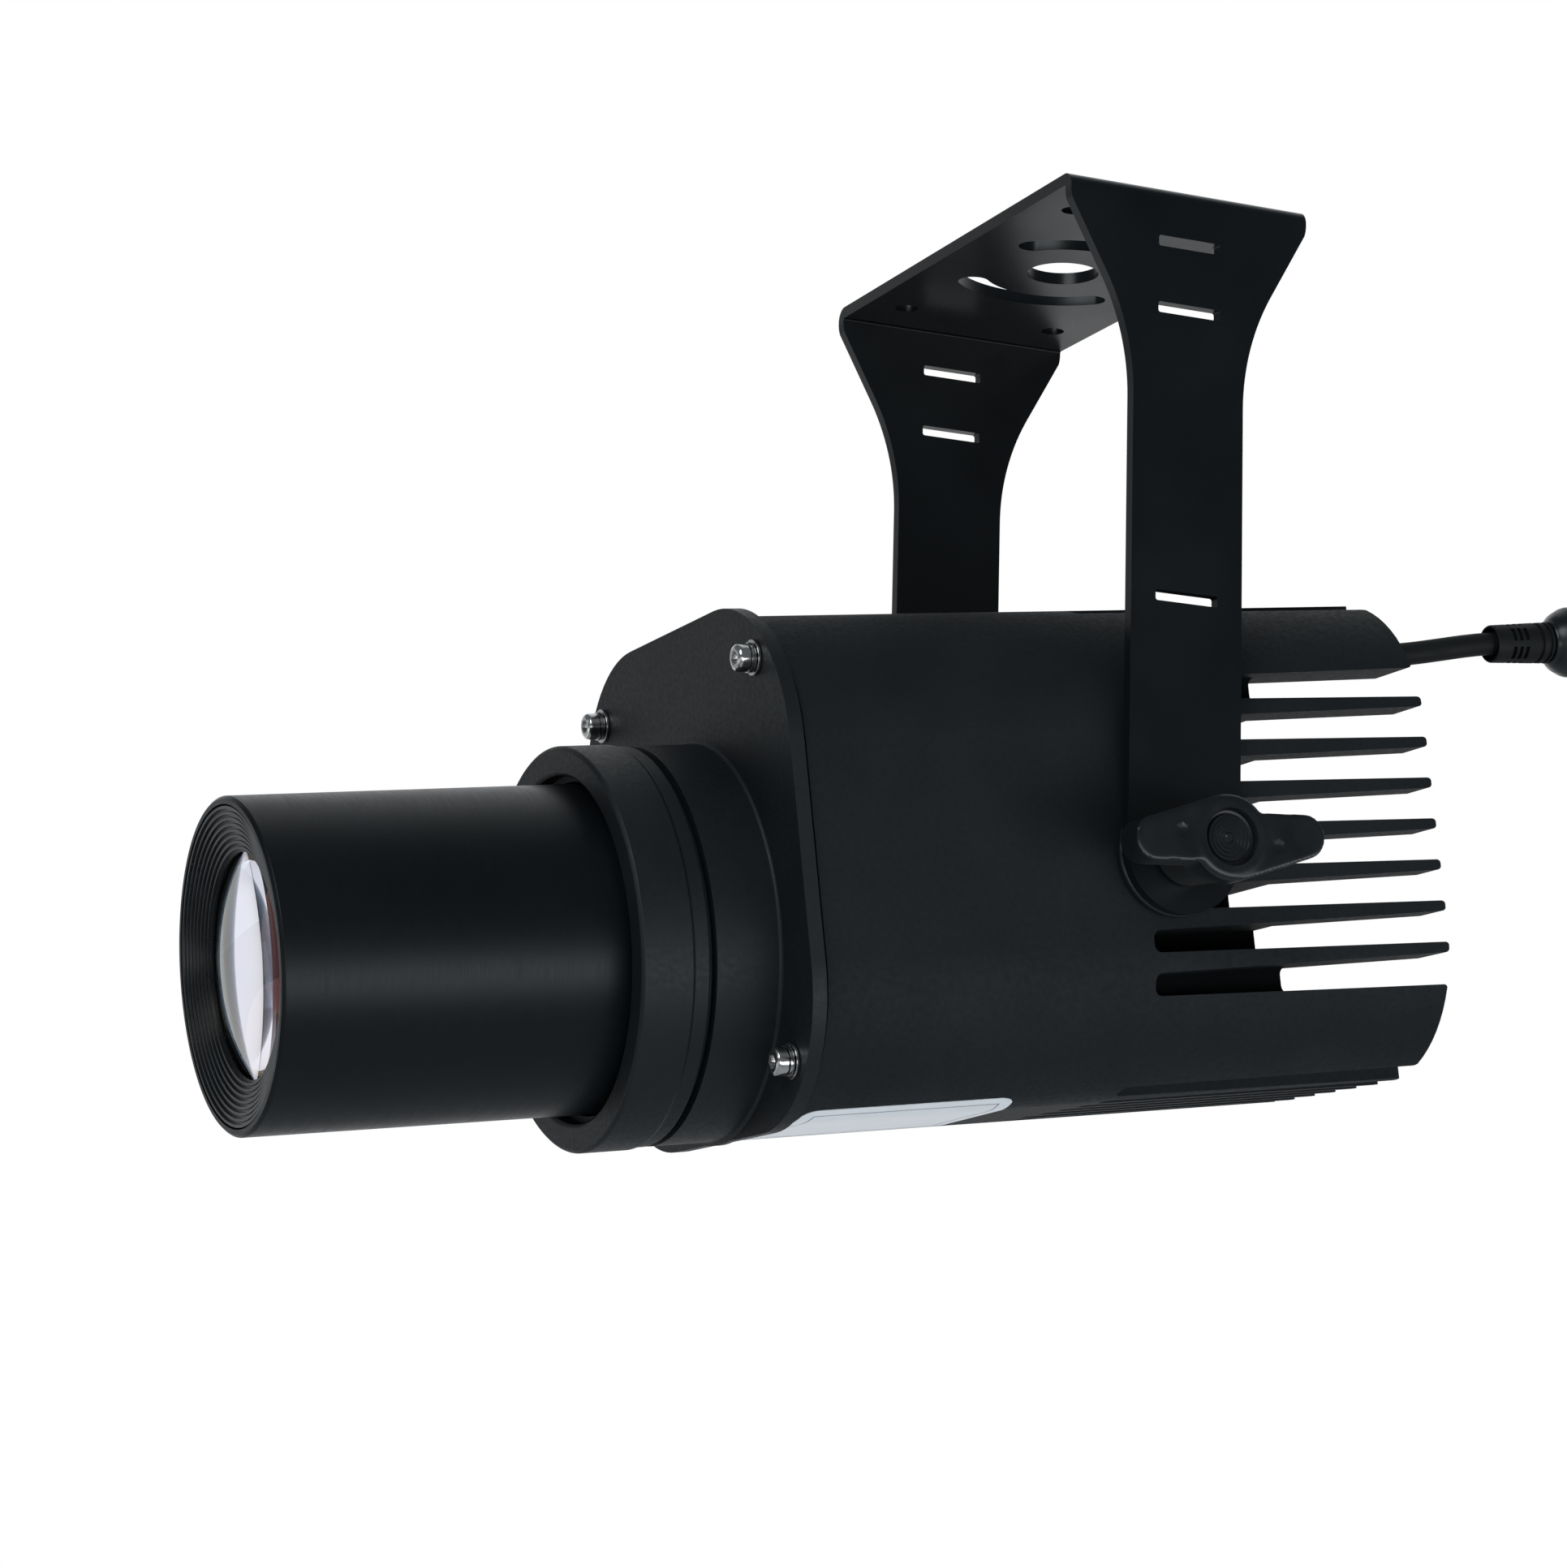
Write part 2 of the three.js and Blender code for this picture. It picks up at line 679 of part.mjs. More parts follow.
function makeHousing() {
  const outline = roundedSquare(bodySize, bodyCornerRadius);
  const body = extrudedAlongX(outline, bodyFront, bodyRear, bodyEdgeRadius);
  const chamber = rodAlongX(chamberRadius, bodyFront - overrun, chamberRear, 0, -chamberDrop, fineSegments);
  const pocket = extrudedAlongX(roundedSquare(pocketSize, pocketCornerRadius), pocketFloor,
    bodyRear + overrun);
  const bosses = [-1, 1].map((side) => rodAlongY(pivotBossRadius, side * bodySize / 2,
    side * (bodySize / 2 - pivotBossDepth), 0, -pivotBelowBodyCentre, roundSegments));
  const studHoles = [-1, 1].map((side) => rodAlongY(studRadius + gap, side * (bodySize / 2 + overrun),
    side * (bodySize / 2 - studDepth - gap), 0, -pivotBelowBodyCentre));
  const screwHoles = screwPlaces().map(([y, z]) => (
    rodAlongX(screwRadius + gap, bodyFront - overrun, bodyFront + plateScrewDepth + gap, y, z, 12)));
  const boardScrewHoles = [-1, 1].map((side) => rodAlongX(screwRadius + gap, chamberRear - overrun,
    chamberRear + boardScrewDepth + gap, side * boardScrewPlace, -opticDrop, 12));
  const channel = rodAlongX(channelRadius, chamberRear - overrun, bodyRear + overrun, -cordPlace, cordPlace);
  const grommetSeat = rodAlongX(grommetRadius + gap, bodyRear - grommetDepth - gap, bodyRear + overrun,
    -cordPlace, cordPlace);
  const cast = join(cut(body, [...slotsOnAllSides(), pocket]), bosses);
  return cut(cast, [chamber, ...studHoles, ...screwHoles, ...boardScrewHoles, channel, grommetSeat,
    wirePocket()]);
}

// A pocket from the chamber out to the cable channel, so that the lead can come in
function wirePocket() {
  const length = chamberRear - wirePocketFront;
  const outer = cordPlace * Math.SQRT2 + channelRadius;
  const inner = chamberRadius - wirePocketOverlap;
  const geometry = new THREE.BoxGeometry(length, wirePocketWidth, outer - inner);
  geometry.translate(wirePocketFront + length / 2, 0, (outer + inner) / 2);
  geometry.rotateX(quarter / 2);
  return toSolid(geometry);
}

function screwPlaces() {
  return [[-1, 1], [1, 1], [-1, -1], [1, -1]].map(([y, z]) => [y * plateScrewPlace, z * plateScrewPlace]);
}

// Front plate, gasket and screws

const plateRear = bodyFront - gasketSpace;
const plateFront = plateRear - plateThickness;
const collarFront = plateFront - collarLength;
const shoulderFront = plateFront - collarShoulder;

function makeFrontPlate() {
  const plate = extrudedAlongX(roundedSquare(plateSize, plateCornerRadius), plateFront, plateRear,
    plateEdgeRadius);
  const bore = rodAlongX(plateBoreRadius, plateFront - overrun, plateRear + overrun, 0, -opticDrop,
    fineSegments);
  const holes = screwPlaces().map(([y, z]) => (
    rodAlongX(screwRadius + gap, plateFront - overrun, plateRear + overrun, y, z, 12)));
  return join(cut(plate, [bore]), [makeCollar()]).subtract(holes.reduce((a, b) => a.add(b)));
}

// The collar is turned with a fillet where it meets the plate
function makeCollar() {
  const inside = plateFront + plateThickness / 2;
  const fillet = filletShares.map((share) => {
    const angle = share * quarter;
    return [plateFront - collarFillet * (1 - Math.sin(angle)),
      collarRadius + collarFillet * (1 - Math.cos(angle))];
  });
  const collar = turnedRing([
    [collarFront, collarBoreRadius],
    [collarFront, collarRadius - collarChamfer],
    [collarFront + collarChamfer, collarRadius],
    ...fillet,
    [inside, collarRadius + collarFillet],
    [inside, plateBoreRadius],
    [shoulderFront, plateBoreRadius],
    [shoulderFront, collarBoreRadius],
  ], fineSegments);
  return moved(collar, 0, 0, -opticDrop);
}

function makeGasket() {
  const middle = bodyFront - gasketSpace / 2;
  const front = middle - gasketThickness / 2;
  const rear = middle + gasketThickness / 2;
  const outline = roundedSquare(bodySize - 2 * gasketInset, bodyCornerRadius - gasketInset);
  const opening = rodAlongX(chamberRadius, front - overrun, rear + overrun, 0, -chamberDrop, fineSegments);
  const holes = screwPlaces().map(([y, z]) => (
    rodAlongX(screwRadius + gap, front - overrun, rear + overrun, y, z, 12)));
  return cut(extrudedAlongX(outline, front, rear), [opening, ...holes]);
}

// A socket-head screw whose head sits before x = 0 and whose shank runs to +x
function makeScrew(shankLength) {
  const head = turned([
    [-screwHeadHeight, 0],
    [-screwHeadHeight, screwHeadRadius - screwHeadChamfer],
    [-screwHeadHeight + screwHeadChamfer, screwHeadRadius],
    [0, screwHeadRadius],
    [0, screwRadius],
    [shankLength - screwHeadChamfer, screwRadius],
    [shankLength, screwRadius - screwHeadChamfer],
    [shankLength, 0],
  ], smallSegments);
  const socket = rodAlongX(screwSocketRadius, -screwHeadHeight - overrun,
    -screwHeadHeight + screwSocketDepth, 0, 0, 6);
  return head.subtract(socket);
}

function makeFlatRing(outer, inner, thickness, segments = smallSegments) {
  return turnedRing([[0, inner], [0, outer], [thickness, outer], [thickness, inner]], segments);
}

function makeSpringWasher() {
  const ring = makeFlatRing(springWasherRadius, screwRadius + gap, springWasherThickness);
  const reach = springWasherRadius + overrun;
  const slit = block(springWasherThickness + overrun, springWasherSlit, reach, 0, 0, reach / 2);
  return ring.subtract(slit);
}

function addPlateScrews(body) {
  const flatFront = plateFront - sealGap - flatWasherThickness;
  const springFront = flatFront - sealGap - springWasherThickness;
  const headSeat = springFront - sealGap;
  const shank = bodyFront + plateScrewDepth - headSeat;
  screwPlaces().forEach(([y, z], i) => {
    const screw = addPiece(body, `plate_screw_${i + 1}`, makeScrew(shank), materials.steel);
    screw.position.set(headSeat, y, z);
    const spring = addPiece(body, `spring_washer_${i + 1}`, makeSpringWasher(), materials.steel);
    spring.position.set(springFront, y, z);
    const flat = makeFlatRing(flatWasherRadius, screwRadius + gap, flatWasherThickness);
    addPiece(body, `flat_washer_${i + 1}`, flat, materials.steel).position.set(flatFront, y, z);
  });
}

// Lens ring, barrel and projection lens

const ringRear = collarFront - ringSeatGap;
const ringFront = ringRear - ringLength;
const spigotRadius = collarBoreRadius - gap;
const ringBoreRadius = barrelRadius + gap;

function makeLensRing() {
  return turnedRing([
    [ringFront, ringMouthRadius + ringChamfer],
    [ringFront, ringRadius - ringChamfer],
    [ringFront + ringChamfer, ringRadius],
    [ringRear - ringTaperLength, ringRadius],
    [ringRear - gap, ringRadius - ringTaper],
    [ringRear, ringRadius - ringTaper - gap],
    [ringRear, spigotRadius],
    [ringRear + spigotLength, spigotRadius],
    [ringRear + spigotLength, ringBoreRadius],
    [ringFront + ringMouthDepth, ringBoreRadius],
    [ringFront + ringMouthDepth, ringMouthRadius],
    [ringFront + ringChamfer, ringMouthRadius],
  ], fineSegments);
}

// A round seal of the given middle radius, centred at x
function makeSeal(x, radius, section, segments) {
  const sides = 6;
  const profile = [];
  for (let i = 0; i < sides; i += 1) {
    const angle = (i + 0.5) * 4 * quarter / sides;
    profile.push([x + section / 2 * Math.cos(angle), radius + section / 2 * Math.sin(angle)]);
  }
  return turnedRing(profile, segments);
}

const barrelRear = ringRear + barrelOverlap;
const barrelFront = barrelRear - barrelLength;
const grooveRear = barrelRear - sealGrooveFromRear;
const grooveFront = grooveRear - sealGrooveWidth;
const hoodRear = barrelFront + hoodDepth;

function makeBarrel() {
  const seat = hoodRear + gap;
  return turnedRing([
    [barrelFront, hoodSeatRadius],
    [barrelFront, barrelRadius - barrelChamfer],
    [barrelFront + barrelChamfer, barrelRadius],
    [grooveFront, barrelRadius],
    [grooveFront, barrelRadius - sealGrooveDepth],
    [grooveRear, barrelRadius - sealGrooveDepth],
    [grooveRear, barrelRadius],
    [barrelRear, barrelRadius],
    [barrelRear, barrelBoreRadius],
    [seat, barrelBoreRadius],
    [seat, hoodSeatRadius],
  ], fineSegments);
}

// The hood steps inwards in fine concentric ridges, so that stray light isn't thrown forward
function makeHoodRing() {
  const outer = hoodSeatRadius - gap;
  const front = barrelFront + hoodSetback;
  const stepWidth = (outer - hoodAperture) / hoodSteps;
  const steps = [];
  for (let i = 0; i < hoodSteps; i += 1) {
    const radius = outer - i * stepWidth;
    const x = front + i * hoodStepDepth;
    steps.push([x, radius], [x, radius - stepWidth]);
  }
  return turnedRing([...steps, [hoodRear, hoodAperture], [hoodRear, outer]], fineSegments);
}

// How far a face of the given curve falls back at a radius
function sagAt(curve, radius) {
  return curve - Math.sqrt(curve * curve - radius * radius);
}

// The convex face of a lens, from the axis to the rim, bulging in the given direction
function capProfile(rimX, radius, curve, direction, count = 4) {
  const points = [];
  for (let i = 0; i <= count; i += 1) {
    const r = radius * i / count;
    points.push([rimX + direction * (sagAt(curve, radius) - sagAt(curve, r)), r]);
  }
  return points;
}

const cellFront = hoodRear + gap;
const cellRear = cellFront + cellLength;
const frontLensSeat = cellFront + frontLensEdge + 2 * gap;
const apertureRear = frontLensSeat + cellApertureLength;
const rearLensFall = sagAt(rearLensCurve, rearLensRadius) - sagAt(rearLensCurve, cellApertureRadius);
const rearLensFront = apertureRear + rearLensFall + gap;
const retainerFront = rearLensFront + rearLensEdge + gap;

function makeLensCell() {
  const outer = barrelBoreRadius - gap;
  return turnedRing([
    [cellFront, frontLensRadius + gap],
    [cellFront, outer],
    [cellRear, outer],
    [cellRear, rearLensRadius + gap],
    [apertureRear, rearLensRadius + gap],
    [apertureRear, cellApertureRadius],
    [frontLensSeat, cellApertureRadius],
    [frontLensSeat, frontLensRadius + gap],
  ]);
}

function makeFrontLens() {
  const rear = frontLensSeat - gap;
  const rim = rear - frontLensEdge + gap;
  return turned([...capProfile(rim, frontLensRadius, frontLensCurve, -1), [rear, frontLensRadius],
    [rear, 0]]);
}

function makeRearLens() {
  const rear = rearLensFront + rearLensEdge;
  return turned([...capProfile(rearLensFront, rearLensRadius, rearLensCurve, -1), [rear, rearLensRadius],
    [rear, 0]]);
}

function makeRearRetainer() {
  const ring = makeFlatRing(rearLensRadius, rearRetainerBore, rearRetainerLength, roundSegments);
  return moved(ring, retainerFront, 0, 0);
}

// Light engine

const boardRear = chamberRear - gap;
const boardFront = boardRear - boardThickness;
const emitterRear = boardFront - sealGap;
const tubeRear = chamberRear - gap;
const tubeFront = bodyFront + tubeRecess;
const seatRear = tubeRear - tubeSeatDepth;
const seatFront = seatRear - tubeSeatWidth;

function makeBoard() {
  const disc = rodAlongX(boardRadius, boardFront, boardRear, 0, 0, roundSegments);
  const holes = [-1, 1].map((side) => rodAlongX(screwRadius + gap, boardFront - overrun,
    boardRear + overrun, side * boardScrewPlace, 0, 12));
  return cut(disc, holes);
}

function makeEmitter() {
  const front = emitterRear - emitterBase;
  const base = block(emitterBase, emitterSize, emitterSize, emitterRear - emitterBase / 2, 0, 0);
  const curve = (emitterDomeRadius ** 2 + emitterDomeHeight ** 2) / (2 * emitterDomeHeight);
  const dome = turned([...capProfile(front, emitterDomeRadius, curve, -1, 3),
    [front + emitterBase / 2, emitterDomeRadius], [front + emitterBase / 2, 0]], 20);
  return base.add(dome);
}

function addBoardScrews(optics) {
  const seat = boardFront - sealGap;
  const shank = chamberRear + boardScrewDepth - seat;
  [-1, 1].forEach((side, i) => {
    const screw = addPiece(optics, `board_screw_${i + 1}`, makeScrew(shank), materials.steel);
    screw.position.set(seat, side * boardScrewPlace, 0);
  });
}

function makeCondenserTube() {
  const flangeFront = tubeRear - tubeFlangeThickness;
  const tube = turnedRing([
    [tubeRear, tubeFlangeRadius],
    [flangeFront, tubeFlangeRadius],
    [flangeFront, tubeRadius],
    [tubeFront, tubeRadius],
    [tubeFront, tubeBoreRadius],
    [seatFront, tubeBoreRadius],
    [seatFront, tubeSeatRadius],
    [seatRear, tubeSeatRadius],
    [seatRear, tubeBoreRadius],
    [tubeRear, tubeBoreRadius],
  ], roundSegments);
  const notch = new THREE.BoxGeometry(wireNotchDepth + overrun, wireNotchWidth, tubeFlangeRadius);
  notch.translate(tubeRear - (wireNotchDepth - overrun) / 2, 0, tubeFlangeRadius / 2 + boardRadius);
  return tube.subtract(toSolid(notch.rotateX(quarter / 2)));
}

const condenserRadius = liningRadius;
const condenserSag = sagAt(condenserCurve, condenserRadius);
const firstLensRear = seatFront - gap;
const firstLensRim = firstLensRear - condenserEdge;
const secondLensRim = firstLensRim - 2 * condenserSag - condenserGap;
const secondLensFront = secondLensRim - condenserEdge;

function makeCondenserLens(rim, back, direction) {
  return turned([...capProfile(rim, condenserRadius, condenserCurve, direction), [back, condenserRadius],
    [back, 0]]);
}

function makeCondenserSpacer() {
  const bore = liningRadius - condenserSpacerWall;
  const inset = condenserSag - sagAt(condenserCurve, bore) + gap;
  const length = firstLensRim - secondLensRim - 2 * inset;
  const ring = makeFlatRing(liningRadius, bore, length, roundSegments);
  return moved(ring, secondLensRim + inset, 0, 0);
}

function makeCondenserRing() {
  const ring = makeFlatRing(liningRadius, condenserRingBore, condenserRingLength, roundSegments);
  return moved(ring, secondLensFront - gap - condenserRingLength, 0, 0);
}

const goboHolderFront = tubeFront + goboHolderFromFront;
const goboHolderRear = goboHolderFront + goboHolderLength;
const goboSeat = goboHolderRear - goboLedge;
const goboRear = goboSeat - sealGap;
const goboFront = goboRear - goboThickness;

function makeGoboHolder() {
  return turnedRing([
    [goboHolderFront, goboRadius + gap],
    [goboHolderFront, liningRadius],
    [goboHolderRear, liningRadius],
    [goboHolderRear, goboAperture],
    [goboSeat, goboAperture],
    [goboSeat, goboRadius + gap],
  ]);
}

// A plain pattern disc: one round hole with a ring of smaller ones
function makeGobo() {
  const disc = rodAlongX(goboRadius, goboFront, goboRear, 0, 0, roundSegments);
  const holes = [rodAlongX(goboCentreHoleRadius, goboFront - overrun, goboRear + overrun, 0, 0)];
  for (let i = 0; i < goboHoleCount; i += 1) {
    const angle = i * 4 * quarter / goboHoleCount;
    holes.push(rodAlongX(goboHoleRadius, goboFront - overrun, goboRear + overrun,
      goboHolePlace * Math.cos(angle), goboHolePlace * Math.sin(angle), 8));
  }
  return cut(disc, holes);
}

function makeGoboSpring() {
  const radius = goboRadius - goboSpringSection / 2;
  const ring = makeSeal(goboFront - sealGap - goboSpringSection / 2, radius, goboSpringSection,
    roundSegments);
  const reach = goboRadius + overrun;
  const slit = block(2 * goboSpringSection, 2 * goboSpringSection, reach,
    goboFront - goboSpringSection / 2, 0, reach / 2);
  return ring.subtract(slit);
}

// Power cord with its grommet, boot and screw connector, in the body's own frame

// Route of the cord, out of the corner post and gently up to the connector, chosen by hand.
// Each row holds the shares of the cord's length, of its step sideways and of its rise.
const cordRouteShares = [
  [0, 0, 0], [0.0701, 0, 0], [0.1401, 0, 0], [0.2102, 0, 0.0105],
  [0.2803, 0, 0.0526], [0.3503, 0, 0.1158], [0.4204, 0.0667, 0.2], [0.4904, 0.1667, 0.3],
  [0.5605, 0.3333, 0.4105], [0.6306, 0.5333, 0.5263], [0.7006, 0.7, 0.6421], [0.7707, 0.8333, 0.7579],
  [0.8408, 0.9333, 0.8579], [0.9108, 1, 0.9421], [0.9618, 1, 0.9842], [1, 1, 1],
];

// Route of the lead from the cord's end, through the channel, to the board.
// Each row holds a share of the housing's rear length, then shares of the cord's place across and up.
const leadRouteShares = [
  [0.9113, 1, 1], [0.6452, 1, 1], [0.3226, 1, 1], [0, 1, 1],
  [-0.2258, 1, 1], [-0.3226, 0.9568, 0.9514], [-0.379, 0.8514, 0.8243], [-0.3839, 0.7432, 0.6216],
  [-0.3387, 0.6622, 0.4324], [-0.2839, 0.5838, 0.2865], [-0.2581, 0.5, 0.1892], [-0.2581, 0.4189, 0.1081],
];

function cordRoute() {
  const start = bodyRear - cordInset;
  const length = bootFront - cordEndGap - start;
  return cordRouteShares.map(([along, sideways, rise]) => (
    [start + along * length, -cordPlace - sideways * connectorSide, cordPlace + rise * connectorRise]));
}

function leadRoute() {
  return leadRouteShares.map(([along, across, up]) => (
    [along * bodyRear, -across * cordPlace, up * cordPlace]));
}

function swept(route, radius, sides, steps) {
  const path = new THREE.CatmullRomCurve3(route.map(([x, y, z]) => new THREE.Vector3(x, y, z)));
  const section = new THREE.Shape();
  for (let i = 0; i < sides; i += 1) {
    const angle = i * 4 * quarter / sides;
    const [u, v] = [radius * Math.cos(angle), radius * Math.sin(angle)];
    if (i) section.lineTo(u, v);
    else section.moveTo(u, v);
  }
  section.closePath();
  return toSolid(new THREE.ExtrudeGeometry(section, { steps, extrudePath: path, curveSegments: 1 }));
}

function makeGrommet() {
  const front = bodyRear - grommetDepth;
  const rear = bodyRear + grommetProud;
  const bore = cordRadius + gap;
  return turnedRing([
    [front, bore],
    [front, grommetRadius],
    [rear - grommetProud / 2, grommetRadius],
    [rear, (grommetRadius + bore) / 2],
    [rear, bore],
  ], 24);
}

// The boot: a tapered sleeve with grooves round its head and rows of flexing slots in its tail
function makeBoot() {
  const radiusAt = (x) => bootTailRadius + (bootHeadRadius - bootTailRadius) * x / bootLength;
  const grooves = bootGrooveShares.map((share) => share * bootLength).flatMap((x) => [
    [x, radiusAt(x)],
    [x, radiusAt(x) - bootGrooveDepth],
    [x + bootGrooveWidth, radiusAt(x) - bootGrooveDepth],
    [x + bootGrooveWidth, radiusAt(x)],
  ]);
  const sleeve = turned([
    [0, 0],
    [0, bootTailRadius - bootGrooveDepth],
    [bootGrooveDepth, bootTailRadius],
    ...grooves,
    [bootLength - bootGrooveDepth, bootHeadRadius],
    [bootLength, bootHeadRadius - bootGrooveDepth],
    [bootLength, 0],
  ], 24);
  const slots = [];
  for (const place of bootSlotShares.map((share) => share * bootLength)) {
    for (let i = 0; i < bootSlotRows; i += 1) {
      const box = new THREE.BoxGeometry(bootSlotLength, bootSlotHeight, 2 * bootSlotDepth);
      box.translate(place + bootSlotLength / 2, 0, radiusAt(place));
      box.rotateX((i + 0.5) * 4 * quarter / bootSlotRows);
      slots.push(toSolid(box));
    }
  }
  return cut(sleeve, slots);
}

function makeNut() {
  const rim = nutFluteRadius / 2;
  const nut = turnedRing([
    [0, nutLipRadius],
    [0, nutTailRadius],
    [nutShoulder / 3, nutTailRadius + rim],
    [nutShoulder, nutRadius],
    [nutLength - rim, nutRadius],
    [nutLength, nutRadius - rim],
    [nutLength, nutBoreRadius],
    [nutLipLength + rim, nutBoreRadius],
    [nutLipLength, nutLipRadius],
  ], 28);
  const flutes = [];
  for (let i = 0; i < nutFluteCount; i += 1) {
    const angle = i * 4 * quarter / nutFluteCount;
    flutes.push(rodAlongX(nutFluteRadius, nutShoulder + rim, nutLength + overrun,
      (nutRadius + rim) * Math.cos(angle), (nutRadius + rim) * Math.sin(angle), 8));
  }
  return cut(nut, flutes);
}

// The insert turns freely inside the nut and carries the pins in its socket
function makeInsert() {
  const neck = nutLipRadius - gap;
  const shoulder = nutLipLength + 2 * gap;
  const front = nutLength - nutFluteRadius;
  const floor = front - insertSocketDepth;
  const shell = turned([
    [0, 0],
    [0, neck],
    [shoulder, neck],
    [shoulder + gap, insertRadius],
    [front, insertRadius],
    [front, insertRadius - insertWall],
    [floor, insertRadius - insertWall],
    [floor, 0],
  ], 20);
  const pins = [];
  for (let i = 0; i < pinCount; i += 1) {
    const angle = i * 4 * quarter / pinCount;
    pins.push(rodAlongX(pinRadius, floor - pinRadius, floor + pinLength, pinCircle * Math.cos(angle),
      pinCircle * Math.sin(angle), 8));
  }
  return join(shell, pins);
}

// Assembly

const projector = new THREE.Group();
addPiece(projector, 'bracket', makeBracket(), materials.satinBlack);

// The head turns about the pivot; the body group sits with its centre above the pivot
const head = new THREE.Group();
head.position.z = -pivotDepth;
head.rotation.y = -THREE.MathUtils.degToRad(restTiltDegrees);
projector.add(head);
const body = new THREE.Group();
body.position.z = pivotBelowBodyCentre;
head.add(body);
const optics = new THREE.Group();
optics.position.z = -opticDrop;
body.add(optics);

// Washers rest against the head, and each knob with its stud screws into the head from its own side
[['near', -1], ['far', 1]].forEach(([side, sign]) => {
  const pivot = new THREE.Group();
  pivot.rotation.z = sign * quarter;
  head.add(pivot);
  addPiece(pivot, `friction_washer_${side}`, makeFrictionWasher(), materials.blackPlastic);
  const grip = new THREE.Group();
  grip.rotation.x = sign * THREE.MathUtils.degToRad(restTiltDegrees);
  pivot.add(grip);
  addPiece(grip, `wing_knob_${side}`, makeKnob(), materials.blackPlastic);
  addPiece(grip, `knob_stud_${side}`, makeKnobStud(), materials.steel);
});

addPiece(body, 'housing', makeHousing(), materials.powderBlack);
addPiece(body, 'front_plate', makeFrontPlate(), materials.powderBlack);
addPiece(body, 'front_gasket', makeGasket(), materials.blackRubber);
addPlateScrews(body);

addPiece(optics, 'lens_ring', makeLensRing(), materials.powderBlack);
const flangeSealX = (collarFront + ringRear) / 2;
addPiece(optics, 'flange_seal', makeSeal(flangeSealX, flangeSealRadius, sealSection, fineSegments),
  materials.blackRubber);
addPiece(optics, 'lens_barrel', makeBarrel(), materials.anodisedBlack);
const focusSealRadius = barrelRadius - sealGrooveDepth + sealGap + sealSection / 2;
addPiece(optics, 'focus_seal', makeSeal((grooveFront + grooveRear) / 2, focusSealRadius, sealSection,
  fineSegments),
  materials.blackRubber);
addPiece(optics, 'hood_ring', makeHoodRing(), materials.anodisedBlack);
addPiece(optics, 'lens_cell', makeLensCell(), materials.aluminium);
addPiece(optics, 'front_lens', makeFrontLens(), materials.glass);
addPiece(optics, 'rear_lens', makeRearLens(), materials.glass);
addPiece(optics, 'rear_lens_retainer', makeRearRetainer(), materials.anodisedBlack);

addPiece(optics, 'led_board', makeBoard(), materials.board);
addPiece(optics, 'led_emitter', makeEmitter(), materials.emitter);
addBoardScrews(optics);
addPiece(optics, 'condenser_tube', makeCondenserTube(), materials.aluminium);
addPiece(optics, 'condenser_lens_rear', makeCondenserLens(firstLensRim, firstLensRear, -1), materials.glass);
addPiece(optics, 'condenser_lens_front', makeCondenserLens(secondLensRim, secondLensFront, 1),
  materials.glass);
addPiece(optics, 'condenser_spacer', makeCondenserSpacer(), materials.aluminium);
addPiece(optics, 'condenser_retainer', makeCondenserRing(), materials.aluminium);
addPiece(optics, 'gobo_holder', makeGoboHolder(), materials.aluminium);
addPiece(optics, 'gobo_disc', makeGobo(), materials.steel);
addPiece(optics, 'gobo_spring', makeGoboSpring(), materials.steel);

addPiece(body, 'cord_grommet', moved(makeGrommet(), 0, -cordPlace, cordPlace), materials.blackRubber);
addPiece(body, 'power_cord', swept(cordRoute(), cordRadius, cordSides, cordSteps), materials.blackRubber);
addPiece(body, 'led_lead', swept(leadRoute(), leadRadius, leadSides, leadSteps), materials.blackRubber);
const connector = new THREE.Group();
connector.position.set(bootFront, -cordPlace - connectorSide, cordPlace + connectorRise);
body.add(connector);
addPiece(connector, 'cord_boot', makeBoot(), materials.blackRubber);
const nutFront = bootLength + gap;
const insert = addPiece(connector, 'connector_insert', makeInsert(), materials.blackPlastic);
insert.position.x = nutFront;
const nut = addPiece(connector, 'connector_nut', makeNut(), materials.blackPlastic);
nut.position.x = nutFront;

export default projector;
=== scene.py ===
# %% [markdown]
# Gobo projector: a small image projector that hangs from a U-shaped bracket.
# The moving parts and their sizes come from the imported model, which is loaded first as a fixed
# frame. This lesson then makes the pieces that show, with finer edges and real finishes, and puts
# each one on the body that it moves with. Everything is in metres, as the frame is.

# %% Load the frame
import math
import bpy
import bmesh
from mathutils import Matrix, Vector


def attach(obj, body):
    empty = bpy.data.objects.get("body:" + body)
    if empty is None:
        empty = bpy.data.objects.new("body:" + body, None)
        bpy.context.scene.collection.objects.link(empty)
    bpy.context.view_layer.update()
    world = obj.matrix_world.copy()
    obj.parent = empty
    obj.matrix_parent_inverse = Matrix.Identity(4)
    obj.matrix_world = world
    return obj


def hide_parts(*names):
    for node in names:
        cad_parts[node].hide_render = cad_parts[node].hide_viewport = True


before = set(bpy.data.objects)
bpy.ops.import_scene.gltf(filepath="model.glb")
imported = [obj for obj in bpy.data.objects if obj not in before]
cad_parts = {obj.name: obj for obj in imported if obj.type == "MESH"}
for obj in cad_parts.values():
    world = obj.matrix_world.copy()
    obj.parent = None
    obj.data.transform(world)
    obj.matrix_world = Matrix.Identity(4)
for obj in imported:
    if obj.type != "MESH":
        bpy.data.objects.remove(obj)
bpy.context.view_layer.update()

# %% [markdown]
# The camera comes first, because all later choices are judged through it. The photograph is taken
# from slightly below with a long lens. Its place was worked out from the edges of the body and
# the bracket.

